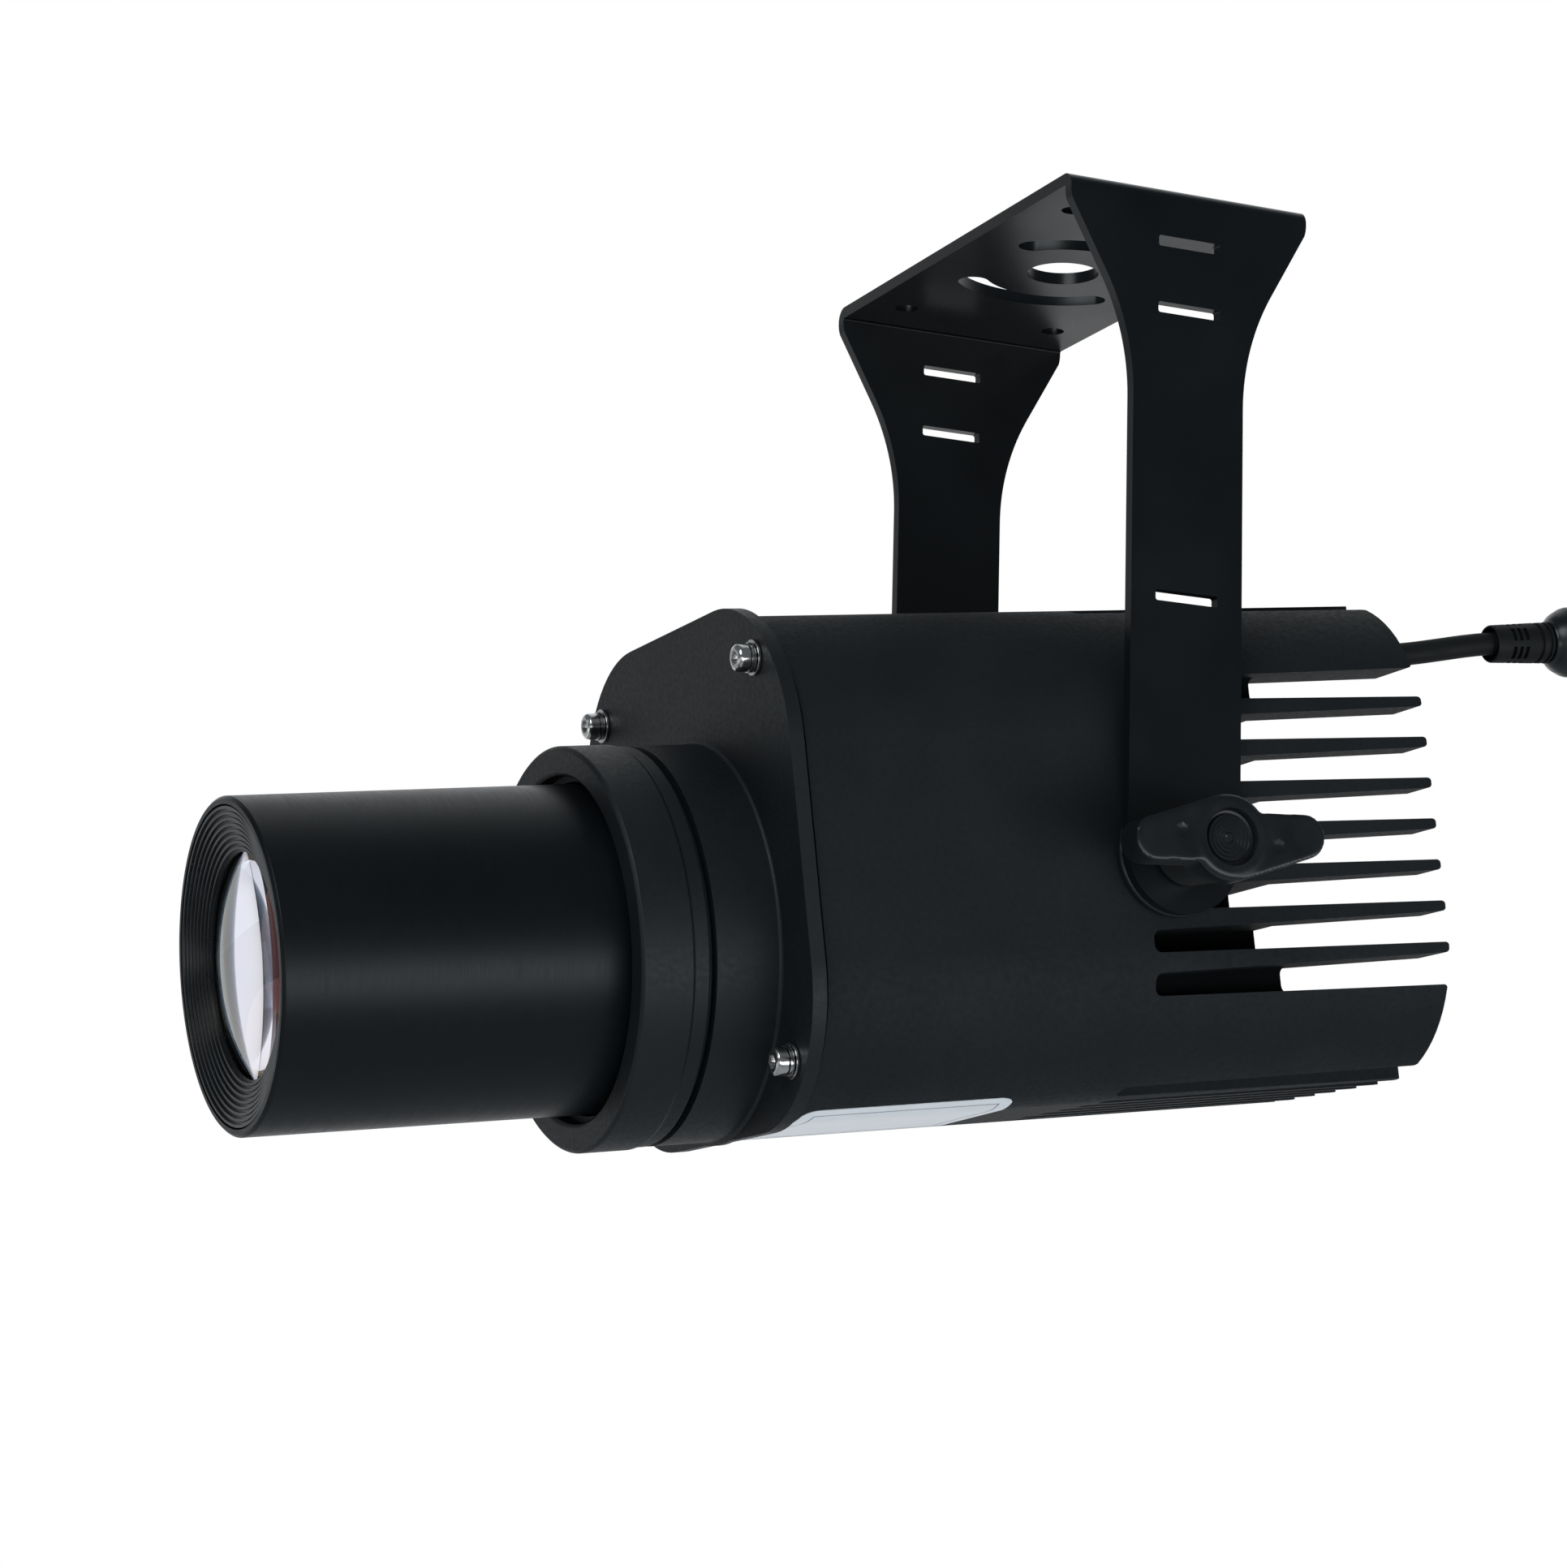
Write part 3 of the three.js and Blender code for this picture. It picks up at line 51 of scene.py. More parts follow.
# %% Camera
CAMERA_PLACE = (-0.41432, -0.79546, -0.28175)
CAMERA_ANGLES = (23.898, 10.591, 1.475)
FOCAL_LENGTH, SENSOR_WIDTH = 100.62, 36


def photo_camera():
    yaw, pitch, roll = (math.radians(angle) for angle in CAMERA_ANGLES)
    forward = Vector((math.sin(yaw) * math.cos(pitch), math.cos(yaw) * math.cos(pitch), math.sin(pitch)))
    level_right = Vector((math.cos(yaw), -math.sin(yaw), 0))
    level_up = level_right.cross(forward)
    right = math.cos(roll) * level_right + math.sin(roll) * level_up
    up = math.cos(roll) * level_up - math.sin(roll) * level_right
    bpy.ops.object.camera_add(location=CAMERA_PLACE)
    camera = bpy.context.object
    camera.name = "photo_camera"
    camera.rotation_mode = "QUATERNION"
    camera.rotation_quaternion = Matrix((right, up, -forward)).transposed().to_quaternion()
    camera.data.lens, camera.data.sensor_width = FOCAL_LENGTH, SENSOR_WIDTH
    camera.data.sensor_fit = "HORIZONTAL"
    camera.data.clip_start, camera.data.clip_end = 0.05, 20
    bpy.context.scene.camera = camera
    return camera


camera = photo_camera()
bpy.context.scene.view_settings.view_transform = "Standard"
print("camera looks along", tuple(round(v, 3) for v in camera.rotation_quaternion @ Vector((0, 0, -1))))

# %% [markdown]
# The head hangs tilted nose-down by seven and a half degrees. It is easier to draw a piece level,
# in millimetres from the middle of the body, and to put it in place at the end. `settle` does
# that and leaves the object at the origin, so that patterns in object coordinates stay still.

# %% From drawing to place
MM = 0.001
TILT = math.radians(7.5)
PIVOT_Z, PIVOT_IN_HEAD = -135, -4
OPTIC_Z = -11.5
OPTIC = (0, OPTIC_Z)
TO_PIVOT = Matrix.Translation((0, 0, PIVOT_Z * MM)) @ Matrix.Rotation(-TILT, 4, "Y")
TO_HEAD = TO_PIVOT @ Matrix.Translation((0, 0, -PIVOT_IN_HEAD * MM)) @ Matrix.Scale(MM, 4)
TO_BRACKET = Matrix.Scale(MM, 4)


def only(obj):
    if bpy.context.object and bpy.context.object.mode != "OBJECT":
        bpy.ops.object.mode_set(mode="OBJECT")
    bpy.ops.object.select_all(action="DESELECT")
    obj.select_set(True)
    bpy.context.view_layer.objects.active = obj


def apply_place(obj):
    only(obj)
    bpy.ops.object.transform_apply(location=True, rotation=True, scale=True)


def settle(obj, place):
    apply_place(obj)
    obj.matrix_world = place
    apply_place(obj)


def placed(obj, rotation=(0, 0, 0), location=(0, 0, 0)):
    obj.rotation_euler, obj.location = rotation, location
    apply_place(obj)
    return obj


print("drawing unit", TO_HEAD.to_scale().x)

# %% [markdown]
# `pick` turns a rule about a place, such as the edges that run along the body, into a selection.
# `pull` draws the selection out.

# %% Picking and pulling parts of a mesh
SAME_SIZE = 1e-6


def edit(obj):
    """Edit mode, with the whole mesh selected."""
    only(obj)
    bpy.ops.object.mode_set(mode="EDIT")
    bpy.ops.mesh.select_all(action="SELECT")


def leave():
    bpy.ops.object.mode_set(mode="OBJECT")


def pick(obj, kind, rule):
    edit(obj)
    bpy.ops.mesh.select_mode(type=kind)
    bpy.ops.mesh.select_all(action="DESELECT")
    mesh = bmesh.from_edit_mesh(obj.data)
    for part in {"VERT": mesh.verts, "EDGE": mesh.edges, "FACE": mesh.faces}[kind]:
        if rule(part):
            part.select_set(True)
    mesh.select_flush_mode()
    bmesh.update_edit_mesh(obj.data)


def along(edge, axis):
    step = edge.verts[1].co - edge.verts[0].co
    return abs(step[axis]) > 0.99 * step.length


def round_edges(obj, rule, radius, segments):
    pick(obj, "EDGE", rule)
    bpy.ops.mesh.bevel(offset=radius, segments=segments, affect="EDGES")
    leave()
    return obj


def pull(step, scale, place):
    """Extrudes what is selected by a step, and scales it about its new place."""
    bpy.ops.mesh.extrude_region_move(TRANSFORM_OT_translate={"value": step})
    if any(abs(k - 1) > SAME_SIZE for k in scale):
        bpy.ops.transform.resize(value=scale, center_override=place)


def face_outward(obj):
    edit(obj)
    bpy.ops.mesh.normals_make_consistent(inside=False)
    leave()


print("mesh tools ready")

# %% [markdown]
# Rounded edges catch the light and make a casting or a machined ring look real. `soften` first
# dissolves what a cut leaves on flat faces. Then it rounds every edge that is sharper than a limit,
# and weights the shading by face size, so that flat faces stay flat.

# %% Softening edges and cutting
MERGE_DISTANCE = 0.004
FLAT_ANGLE = math.radians(0.4)


def apply_modifier(obj, kind, **settings):
    only(obj)
    modifier = obj.modifiers.new(kind.lower(), kind)
    for key, value in settings.items():
        setattr(modifier, key, value)
    bpy.ops.object.modifier_apply(modifier=modifier.name)


def smooth(degrees):
    bpy.ops.object.shade_smooth_by_angle(angle=math.radians(degrees))


def soften(obj, width, segments=2, limit=30):
    edit(obj)
    bpy.ops.mesh.remove_doubles(threshold=MERGE_DISTANCE)
    bpy.ops.mesh.dissolve_limited(angle_limit=FLAT_ANGLE)
    leave()
    apply_modifier(obj, "BEVEL", width=width, segments=segments, limit_method="ANGLE",
                   angle_limit=math.radians(limit), miter_outer="MITER_ARC")
    smooth(40)
    apply_modifier(obj, "WEIGHTED_NORMAL", keep_sharp=True, weight=100)
    return obj


def subtract(obj, cutters, solver="MANIFOLD", operation="DIFFERENCE"):
    """Cuts the cutters out of a piece one by one, or joins them to it with operation UNION."""
    for cutter in cutters:
        apply_modifier(obj, "BOOLEAN", object=cutter, operation=operation, solver=solver)
        bpy.data.objects.remove(cutter)
    return obj


print("edge tools ready")

# %% [markdown]
# Many pieces of this lamp are turned. Each starts as one circle round the X axis, which is pulled
# along a list of places and radii, as a profile is followed on the lathe.

# %% Turning
SEAM_DISTANCE, ON_AXIS = 0.0005, 0.02


def turned(name, profile, segments=96, centre=(0, 0), closed=True):
    (x, radius), (cy, cz) = profile[0], centre
    bpy.ops.mesh.primitive_circle_add(vertices=segments, radius=radius, location=(x, cy, cz),
                                      rotation=(0, math.pi / 2, 0))
    obj = bpy.context.object
    obj.name = obj.data.name = name
    apply_place(obj)
    edit(obj)
    for next_x, next_radius in profile[1:] + ([profile[0]] if closed else []):
        k = next_radius / radius
        pull((next_x - x, 0, 0), (1, k, k), (next_x, cy, cz))
        x, radius = next_x, next_radius
    bpy.ops.mesh.select_all(action="SELECT")
    bpy.ops.mesh.remove_doubles(threshold=SEAM_DISTANCE)
    if not closed:
        bpy.ops.mesh.fill_holes(sides=0)
    face_outward(obj)
    return obj


def rod(x0, x1, radius, centre=(0, 0), segments=64):
    return turned("rod", [(x0, radius), (x1, radius)], segments, centre, closed=False)


print("lathe ready")

# %% [markdown]
# A block is a cube added at its size. A rounded block has its four long edges rolled over with
# the bevel tool, which is how the body and the plate get their square shape with round corners.

# %% Blocks
def block(name, low, high):
    bpy.ops.mesh.primitive_cube_add(size=1, location=[(a + b) / 2 for a, b in zip(low, high)])
    obj = bpy.context.object
    obj.name = obj.data.name = name
    obj.scale = [b - a for a, b in zip(low, high)]
    apply_place(obj)
    return obj


def rounded_block(name, x0, x1, size, radius, segments=16):
    half = size / 2
    obj = block(name, (x0, -half, -half), (x1, half, half))
    return round_edges(obj, lambda e: along(e, 0), radius, segments)


print("blocks ready")

# %% [markdown]
# Thin sheet starts as one edge, pulled along rows of places and scaled to the strip's width at
# each. Solidify gives it its thickness afterwards.

# %% Strips
def strip(name, rows):
    """A ribbon that lies across X, through rows of (x, half width, y, z)."""
    x, half, y, z = rows[0]
    bpy.ops.mesh.primitive_plane_add(size=2, location=(x, y, z))
    obj = bpy.context.object
    obj.name = obj.data.name = name
    pick(obj, "VERT", lambda v: v.co.y > 0)
    bpy.ops.mesh.delete(type="VERT")
    bpy.ops.mesh.select_all(action="SELECT")
    bpy.ops.transform.resize(value=(half, 0, 1), center_override=(x, y, z))
    for (xa, wa, ya, za), (xb, wb, yb, zb) in zip(rows, rows[1:]):
        pull((xb - xa, yb - ya, zb - za), (wb / wa, 1, 1), (xb, yb, zb))
    leave()
    apply_place(obj)
    face_outward(obj)
    return obj


print("strips ready")

# %% [markdown]
# Black things are told apart by their gloss and their grain, so each black has its own roughness
# and bump. The castings' powder coat is a fine orange peel: two sizes of noise push the surface up
# and down by a few hundredths of a millimetre, and the roughness follows.

# %% Material helpers
def add_node(tree, kind, inputs, **settings):
    """Adds a node. A value is set on its input, and another node's output is linked to it."""
    node = tree.nodes.new("ShaderNode" + kind)
    for name, value in settings.items():
        setattr(node, name, value)
    for name, value in inputs.items():
        if isinstance(value, bpy.types.NodeSocket):
            tree.links.new(value, node.inputs[name])
        else:
            node.inputs[name].default_value = value
    return node.outputs


def new_material(name, colour, roughness, metallic=0.0, specular=0.5):
    material = bpy.data.materials.new(name)
    material.use_nodes = True
    shader = material.node_tree.nodes["Principled BSDF"]
    shader.inputs["Base Color"].default_value = (*colour, 1)
    shader.inputs["Roughness"].default_value = roughness
    shader.inputs["Metallic"].default_value = metallic
    shader.inputs["Specular IOR Level"].default_value = specular
    return material, shader


def noise(shader, scale, detail=3, stretch=(1, 1, 1)):
    tree = shader.id_data
    place = add_node(tree, "TexCoord", {})["Object"]
    spot = add_node(tree, "Mapping", {"Vector": place, "Scale": stretch})["Vector"]
    return add_node(tree, "TexNoise", {"Vector": spot, "Scale": scale, "Detail": detail})["Fac"]


def bump(shader, heights, distance):
    """Several heights, each a pattern with its strength, pushed one on top of the other."""
    tree, below = shader.id_data, {}
    for height, strength in heights:
        node = add_node(tree, "Bump", {"Height": height, "Strength": strength,
                                       "Distance": distance, **below})
        below = {"Normal": node["Normal"]}
    tree.links.new(below["Normal"], shader.inputs["Normal"])


def spread(shader, pattern, low, high):
    """Roughness that follows a pattern between two values."""
    tree = shader.id_data
    ramp = add_node(tree, "MapRange", {"Value": pattern, "From Min": 0.3, "From Max": 0.7,
                                       "To Min": low, "To Max": high})
    tree.links.new(ramp["Result"], shader.inputs["Roughness"])


def mottle(shader, pattern, dark, light):
    """Colour that follows a pattern between two shades."""
    tree = shader.id_data
    mix = tree.nodes.new("ShaderNodeValToRGB")
    for stop, position, shade in zip(mix.color_ramp.elements, (0.3, 0.72), (dark, light)):
        stop.position, stop.color = position, (*shade, 1)
    tree.links.new(pattern, mix.inputs["Fac"])
    tree.links.new(mix.outputs["Color"], shader.inputs["Base Color"])


print("finish tools ready")

# %% Black finishes
def powder_coat():
    material, shader = new_material("powder_coat", (0.0078, 0.0102, 0.0124), 0.66, 0, 0.26)
    fine, coarse, cloud = noise(shader, 2600, 2), noise(shader, 900, 2), noise(shader, 60)
    mottle(shader, cloud, (0.0062, 0.0082, 0.01), (0.0096, 0.0124, 0.015))
    spread(shader, coarse, 0.6, 0.74)
    bump(shader, [(coarse, 0.35), (fine, 0.5)], 0.00006)
    return material


# Painted shade: a darker, duller black for the slots' ends and floors, where little light reaches.
def painted_slot_shade():
    material, shader = new_material("painted_slot_shade", (0.003, 0.0038, 0.0045), 0.85, 0, 0.1)
    mottle(shader, noise(shader, 60), (0.0025, 0.0032, 0.0038), (0.0036, 0.0045, 0.0053))
    bump(shader, [(noise(shader, 900, 2), 0.35)], 0.00006)
    return material


def ring_coat():
    material, shader = new_material("ring_coat", (0.007, 0.0092, 0.0112), 0.52, 0, 0.34)
    fine, speck, cloud = noise(shader, 2400, 2), noise(shader, 1100, 2), noise(shader, 50)
    mottle(shader, cloud, (0.0058, 0.0076, 0.0093), (0.0086, 0.0112, 0.0135))
    spread(shader, speck, 0.46, 0.58)
    bump(shader, [(speck, 0.2), (fine, 0.35)], 0.00004)
    return material


def satin_paint():
    material, shader = new_material("satin_paint", (0.0052, 0.0068, 0.0082), 0.3, 0, 0.3)
    fine, cloud = noise(shader, 1800, 2), noise(shader, 45, 4)
    mottle(shader, cloud, (0.0045, 0.0059, 0.0072), (0.0068, 0.0088, 0.0106))
    spread(shader, cloud, 0.26, 0.34)
    bump(shader, [(fine, 0.2)], 0.00003)
    return material


def anodising():
    material, shader = new_material("black_anodising", (0.0056, 0.0074, 0.009), 0.36, 0.15, 0.3)
    fine, lathe = noise(shader, 2200, 2), noise(shader, 400, 3, (9, 0.4, 0.4))
    mottle(shader, noise(shader, 40), (0.0036, 0.0049, 0.0062), (0.0054, 0.0072, 0.009))
    spread(shader, lathe, 0.33, 0.42)
    bump(shader, [(fine, 0.3)], 0.00003)
    return material


def moulded_plastic():
    material, shader = new_material("moulded_plastic", (0.0078, 0.0094, 0.011), 0.3, 0, 0.45)
    fine, cloud = noise(shader, 1500), noise(shader, 120)
    mottle(shader, cloud, (0.0066, 0.008, 0.0094), (0.009, 0.0108, 0.0126))
    spread(shader, cloud, 0.25, 0.36)
    bump(shader, [(fine, 0.2)], 0.00004)
    return material


def black_rubber():
    material, shader = new_material("black_rubber", (0.0058, 0.007, 0.0082), 0.6, 0, 0.26)
    fine, cloud = noise(shader, 1700), noise(shader, 200, 2)
    mottle(shader, cloud, (0.005, 0.006, 0.007), (0.0068, 0.0081, 0.0094))
    spread(shader, cloud, 0.55, 0.7)
    bump(shader, [(fine, 0.25)], 0.00005)
    return material


POWDER, SLOT_SHADE_PAINT, RING_COAT = powder_coat(), painted_slot_shade(), ring_coat()
SATIN, ANODISED = satin_paint(), anodising()
PLASTIC, RUBBER = moulded_plastic(), black_rubber()
print("blacks", [m.name for m in (POWDER, SLOT_SHADE_PAINT, RING_COAT, SATIN, ANODISED, PLASTIC, RUBBER)])

# %% Bright finishes and glass
def stainless():
    material, shader = new_material("stainless", (0.72, 0.71, 0.7), 0.16, 1)
    grain = noise(shader, 900, 3, (0.6, 3, 3))
    spread(shader, grain, 0.1, 0.22)
    bump(shader, [(grain, 0.1)], 0.00003)
    return material


def machined_aluminium():
    material, shader = new_material("machined_aluminium", (0.66, 0.67, 0.68), 0.35, 1)
    grain = noise(shader, 700, 3, (8, 0.5, 0.5))
    spread(shader, grain, 0.28, 0.42)
    bump(shader, [(grain, 0.12)], 0.00003)
    return material


def coated_glass():
    material, shader = new_material("coated_glass", (0.88, 0.87, 0.95), 0.01)
    shader.inputs["Transmission Weight"].default_value = 1
    shader.inputs["IOR"].default_value = 1.6
    shader.inputs["Thin Film Thickness"].default_value = 330
    shader.inputs["Thin Film IOR"].default_value = 1.38
    spread(shader, noise(shader, 300, 4), 0.0, 0.012)
    return material


def board_white():
    material, shader = new_material("board_white", (0.72, 0.72, 0.68), 0.45)
    bump(shader, [(noise(shader, 500), 0.2)], 0.00005)
    return material


def phosphor():
    material, shader = new_material("phosphor", (0.7, 0.5, 0.06), 0.25)
    mottle(shader, noise(shader, 900), (0.6, 0.4, 0.04), (0.8, 0.6, 0.1))
    shader.inputs["Coat Weight"].default_value = 0.6
    return material


def label_white():
    material, shader = new_material("label_white", (0.9, 0.92, 0.95), 0.35)
    mottle(shader, noise(shader, 160), (0.87, 0.89, 0.93), (0.93, 0.95, 0.98))
    return material


def line_grey():
    material, shader = new_material("line_grey", (0.2, 0.22, 0.26), 0.4)
    mottle(shader, noise(shader, 700), (0.14, 0.16, 0.2), (0.26, 0.28, 0.32))
    return material


STEEL, ALUMINIUM, GLASS = stainless(), machined_aluminium(), coated_glass()
BOARD, PHOSPHOR, LABEL, LINE = board_white(), phosphor(), label_white(), line_grey()
print("bright finishes", [m.name for m in (STEEL, ALUMINIUM, GLASS, BOARD, PHOSPHOR, LABEL, LINE)])

# %% [markdown]
# A finished piece gets its material, is put in place, rides on its body and stands for its node
# of the frame. One helper does these four.

# %% Finishing a piece
def finished(obj, node, body, material, place=TO_HEAD):
    obj.data.materials.clear()
    obj.data.materials.append(material)
    obj.name = obj.data.name = f"{node}_look"
    settle(obj, place)
    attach(obj, body)
    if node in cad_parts:
        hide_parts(node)
    return obj


print("nodes in the frame", len(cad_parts))

# %% [markdown]
# The power cord leaves the upper near corner of the body, runs straight back and rises a little
# to its connector. It is a curve through the same points as the frame's solid, given a round
# section.

# %% Power cord
CORD_POINTS = [
    (56.8, -37, 37), (59, -37, 37), (61.2, -37, 37), (63.4, -37, 37.02), (65.6, -37, 37.1),
    (67.8, -37, 37.22), (70, -37.02, 37.38), (72.2, -37.05, 37.57), (74.4, -37.1, 37.78),
    (76.6, -37.16, 38), (78.8, -37.21, 38.22), (81, -37.25, 38.44), (83.2, -37.28, 38.63),
    (85.4, -37.3, 38.79), (87, -37.3, 38.87), (88.2, -37.3, 38.9),
]
CORD_DIAMETER = 4.8


def power_cord():
    data = bpy.data.curves.new("power_cord_look", "CURVE")
    data.dimensions = "3D"
    data.bevel_depth = CORD_DIAMETER / 2000
    data.bevel_resolution, data.resolution_u = 8, 6
    data.use_fill_caps = True
    line = data.splines.new("BEZIER")
    line.bezier_points.add(len(CORD_POINTS) - 1)
    for knot, point in zip(line.bezier_points, CORD_POINTS):
        knot.co = TO_HEAD @ Vector(point)
        knot.handle_left_type = knot.handle_right_type = "AUTO"
    cord = bpy.data.objects.new("power_cord_look", data)
    bpy.context.scene.collection.objects.link(cord)
    data.materials.append(RUBBER)
    return cord


cord = power_cord()
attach(cord, "head")
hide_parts("power_cord")

# %% [markdown]
# The bracket is one strip of flat steel, bent twice. It is drawn as the blacksmith would: a strip
# that is narrow at the pivot, widens in a flare below each shoulder, and crosses the top. The
# holes are cut through the solid sheet.

# %% Bracket strip
ARM_HALF, TOP_HALF, SHEET = 12.5, 27, 2.5
ARM_Y, BEND_RADIUS = -55, 2.9
TOP_END, SHOULDER_END, FLARE_END, CURVE_END = 3.4, 5.6, 19, 44
SHOULDER_DROP, FLARE_HALF, CURVE_RADIUS = 0.35, 19.2, 50


def half_width(depth):
    """Half the strip's width at a depth below the top face."""
    if depth < TOP_END:
        return TOP_HALF
    if depth < SHOULDER_END:
        return TOP_HALF - SHOULDER_DROP * ((depth - TOP_END) / (SHOULDER_END - TOP_END)) ** 2
    if depth < FLARE_END:
        share = (depth - SHOULDER_END) / (FLARE_END - SHOULDER_END)
        return TOP_HALF - SHOULDER_DROP - share * (TOP_HALF - SHOULDER_DROP - FLARE_HALF)
    if depth < CURVE_END:
        return ARM_HALF + CURVE_RADIUS - math.sqrt(CURVE_RADIUS ** 2 - (CURVE_END - depth) ** 2)
    return ARM_HALF


def arm_rows():
    """The strip's rows from the pivot end up one arm and over to the top."""
    rows = []
    for i in range(17):
        angle = math.radians(88 - i * 5.5)
        rows.append((0, ARM_HALF * math.cos(angle), ARM_Y, PIVOT_Z - ARM_HALF * math.sin(angle)))
    curve = [CURVE_END - 1.6 * i for i in range(16)]
    for depth in [134, 100, 70, 48] + curve + [18, 15, 12, 9, 7, 5.6, 5, 4.4, 3.8, 3.3]:
        rows.append((0, half_width(depth), ARM_Y, -depth))
    for i in range(9):
        angle = math.radians(180 - i * 11.25)
        rows.append((0, TOP_HALF, ARM_Y + BEND_RADIUS * (1 + math.cos(angle)),
                     BEND_RADIUS * (math.sin(angle) - 1)))
    return rows


def bracket_strip():
    near = arm_rows()
    obj = strip("bracket", near + [(x, half, -y, z) for x, half, y, z in reversed(near)])
    top = next(face for face in obj.data.polygons if face.center.z > -0.5)
    apply_modifier(obj, "SOLIDIFY", thickness=SHEET, offset=-1 if top.normal.z > 0 else 1,
                   use_even_offset=True)
    face_outward(obj)
    return obj


bracket = bracket_strip()
print("bracket strip", len(bracket.data.polygons), "faces", [round(v, 1) for v in bracket.dimensions])

# %% Bracket holes
STUD_HOLE, CLAMP_HOLE, CORNER_HOLE = 3.3, 7.6, 2.5
CORNER_X, CORNER_Y = 18, 39
ARC_RADIUS, ARC_WIDTH = 20, 6.5
ARM_SLOT_DEPTHS = (11.5, 25.3, 84.3)


def upright_rod(x, y, radius, segments=48):
    return placed(rod(-8, 8, radius, segments=segments), (0, -math.pi / 2, 0), (x, y, 0))


def across_rod(radius, y0, y1, z, segments=48):
    return placed(rod(y0, y1, radius, segments=segments), (0, 0, math.pi / 2), (0, 0, z))


def arc_slot(side):
    """A bar along the arc round the clamp hole, spun from one round end to the other."""
    bpy.ops.mesh.primitive_plane_add(size=1, location=(ARC_RADIUS, 0, -2), rotation=(math.pi / 2, 0, 0))
    obj = bpy.context.object
    obj.scale = (ARC_WIDTH, 14, 1)
    apply_place(obj)
    edit(obj)
    bpy.ops.mesh.spin(steps=24, angle=math.pi / 2, center=(0, 0, 0), axis=(0, 0, 1))
    face_outward(obj)
    corners = [v.co for v in obj.data.vertices]
    middle = math.atan2(sum(v.y for v in corners), sum(v.x for v in corners))
    return placed(obj, (0, 0, side * math.pi / 2 - middle))


def arm_slot(depth):
    obj = block("slot", (-7, -80, -depth - 1.1), (7, 80, -depth + 1.1))
    return round_edges(obj, lambda e: along(e, 1), 0.5, 4)


holes = [arm_slot(depth) for depth in ARM_SLOT_DEPTHS]
holes += [across_rod(STUD_HOLE, -80, 80, PIVOT_Z), upright_rod(0, 0, CLAMP_HOLE, 64)]
holes += [upright_rod(sx * CORNER_X, sy * CORNER_Y, CORNER_HOLE) for sx in (-1, 1) for sy in (-1, 1)]
holes += [arc_slot(1), arc_slot(-1)]
for angle in (math.radians(45 + 90 * end) for end in range(4)):
    holes.append(upright_rod(ARC_RADIUS * math.cos(angle), ARC_RADIUS * math.sin(angle), ARC_WIDTH / 2))
soften(subtract(bracket, holes), 0.7, 4, 35)
finished(bracket, "bracket", "bracket", SATIN, TO_BRACKET)
print("bracket", len(bracket.data.polygons), "faces")

# %% [markdown]
# The housing is a die casting: a square prism with round corners, a round light chamber bored
# from the front, a square pocket in the rear, and eight slots in each side that leave seven fins.
# The slots run deep towards the diagonals in front of the pocket, so that an X-shaped core is left
# to carry the heat out, and they widen to the rear as cast slots do. Each slot is a wedge-shaped
# cutter that flares at the fins' tips, and one side's set of cutters is turned to the other three
# sides. The slots' ends and floors get a deeper black, which is painted shade: hardly any light
# reaches them.

# %% Slot cutters
BODY_FRONT, BODY_REAR, BODY_HALF, BODY_ROUND = -77, 62, 50, 29
CORNER = BODY_HALF - BODY_ROUND
SLOT_FRONT, SLOT_WIDTH, SLOT_WIDENING, POCKET_FLOOR = -6, 4.4, 1.9, 26
FIN_PITCH, CORE_HALF, RIM_INNER = 8.4, 13.2, 30
TIP_FLARE = ((-0.5, 0.07), (-0.22, 0.24), (-0.04, 0.5), (0.05, 0.8), (4, 0.8))
PAST = 4


def slot_half(x):
    return (SLOT_WIDTH + SLOT_WIDENING * (x - SLOT_FRONT) / (BODY_REAR - SLOT_FRONT)) / 2


def slot_cutter(x0, across, inner):
    """A slot that widens to the rear and flares at its very end, which rounds the fins' tips."""
    x, half = BODY_REAR - 0.85, slot_half(x0)
    width = slot_half(x)
    obj = block("slot", (x0, -BODY_HALF - PAST, across - half), (x, -inner, across + half))
    pick(obj, "FACE", lambda f: f.normal.x > 0.9)
    bpy.ops.transform.resize(value=(1, 1, width / half), center_override=(x, 0, across))
    for step, flare in TIP_FLARE:
        next_x, next_width = BODY_REAR + step, slot_half(BODY_REAR) + flare
        pull((next_x - x, 0, 0), (1, 1, next_width / width), (next_x, 0, across))
        x, width = next_x, next_width
    return round_edges(obj, lambda e: along(e, 1) and e.verts[0].co.x < x0 + 1, 1.6, 6)


def joined(objs):
    only(objs[0])
    for other in objs[1:]:
        other.select_set(True)
    bpy.ops.object.join()
    return bpy.context.object


def duplicate(obj):
    only(obj)
    bpy.ops.object.duplicate(linked=False)
    return bpy.context.object


def four_sides(cutter):
    sides = [placed(duplicate(cutter), (turn * math.pi / 2, 0, 0)) for turn in range(4)]
    bpy.data.objects.remove(cutter)
    return sides


slot_places = [(i - 3.5) * FIN_PITCH for i in range(8)]
rim_places = [z for z in slot_places if abs(z) + CORE_HALF > RIM_INNER]
deep = four_sides(joined([slot_cutter(SLOT_FRONT, z, abs(z) + CORE_HALF) for z in slot_places]))
rim = four_sides(joined([slot_cutter(POCKET_FLOOR, z, RIM_INNER) for z in rim_places]))
print("slot cutters", len(deep) + len(rim))

# %% Housing
SCREW_HOLE, SCREW_PLACES = 1.8, [(-39, 39), (39, 39), (-39, -39), (39, -39)]
CHAMBER_RADIUS, CHAMBER_AXIS, CHAMBER_END = 41, (0, -5), -12
CORD_EXIT = (-37, 37)

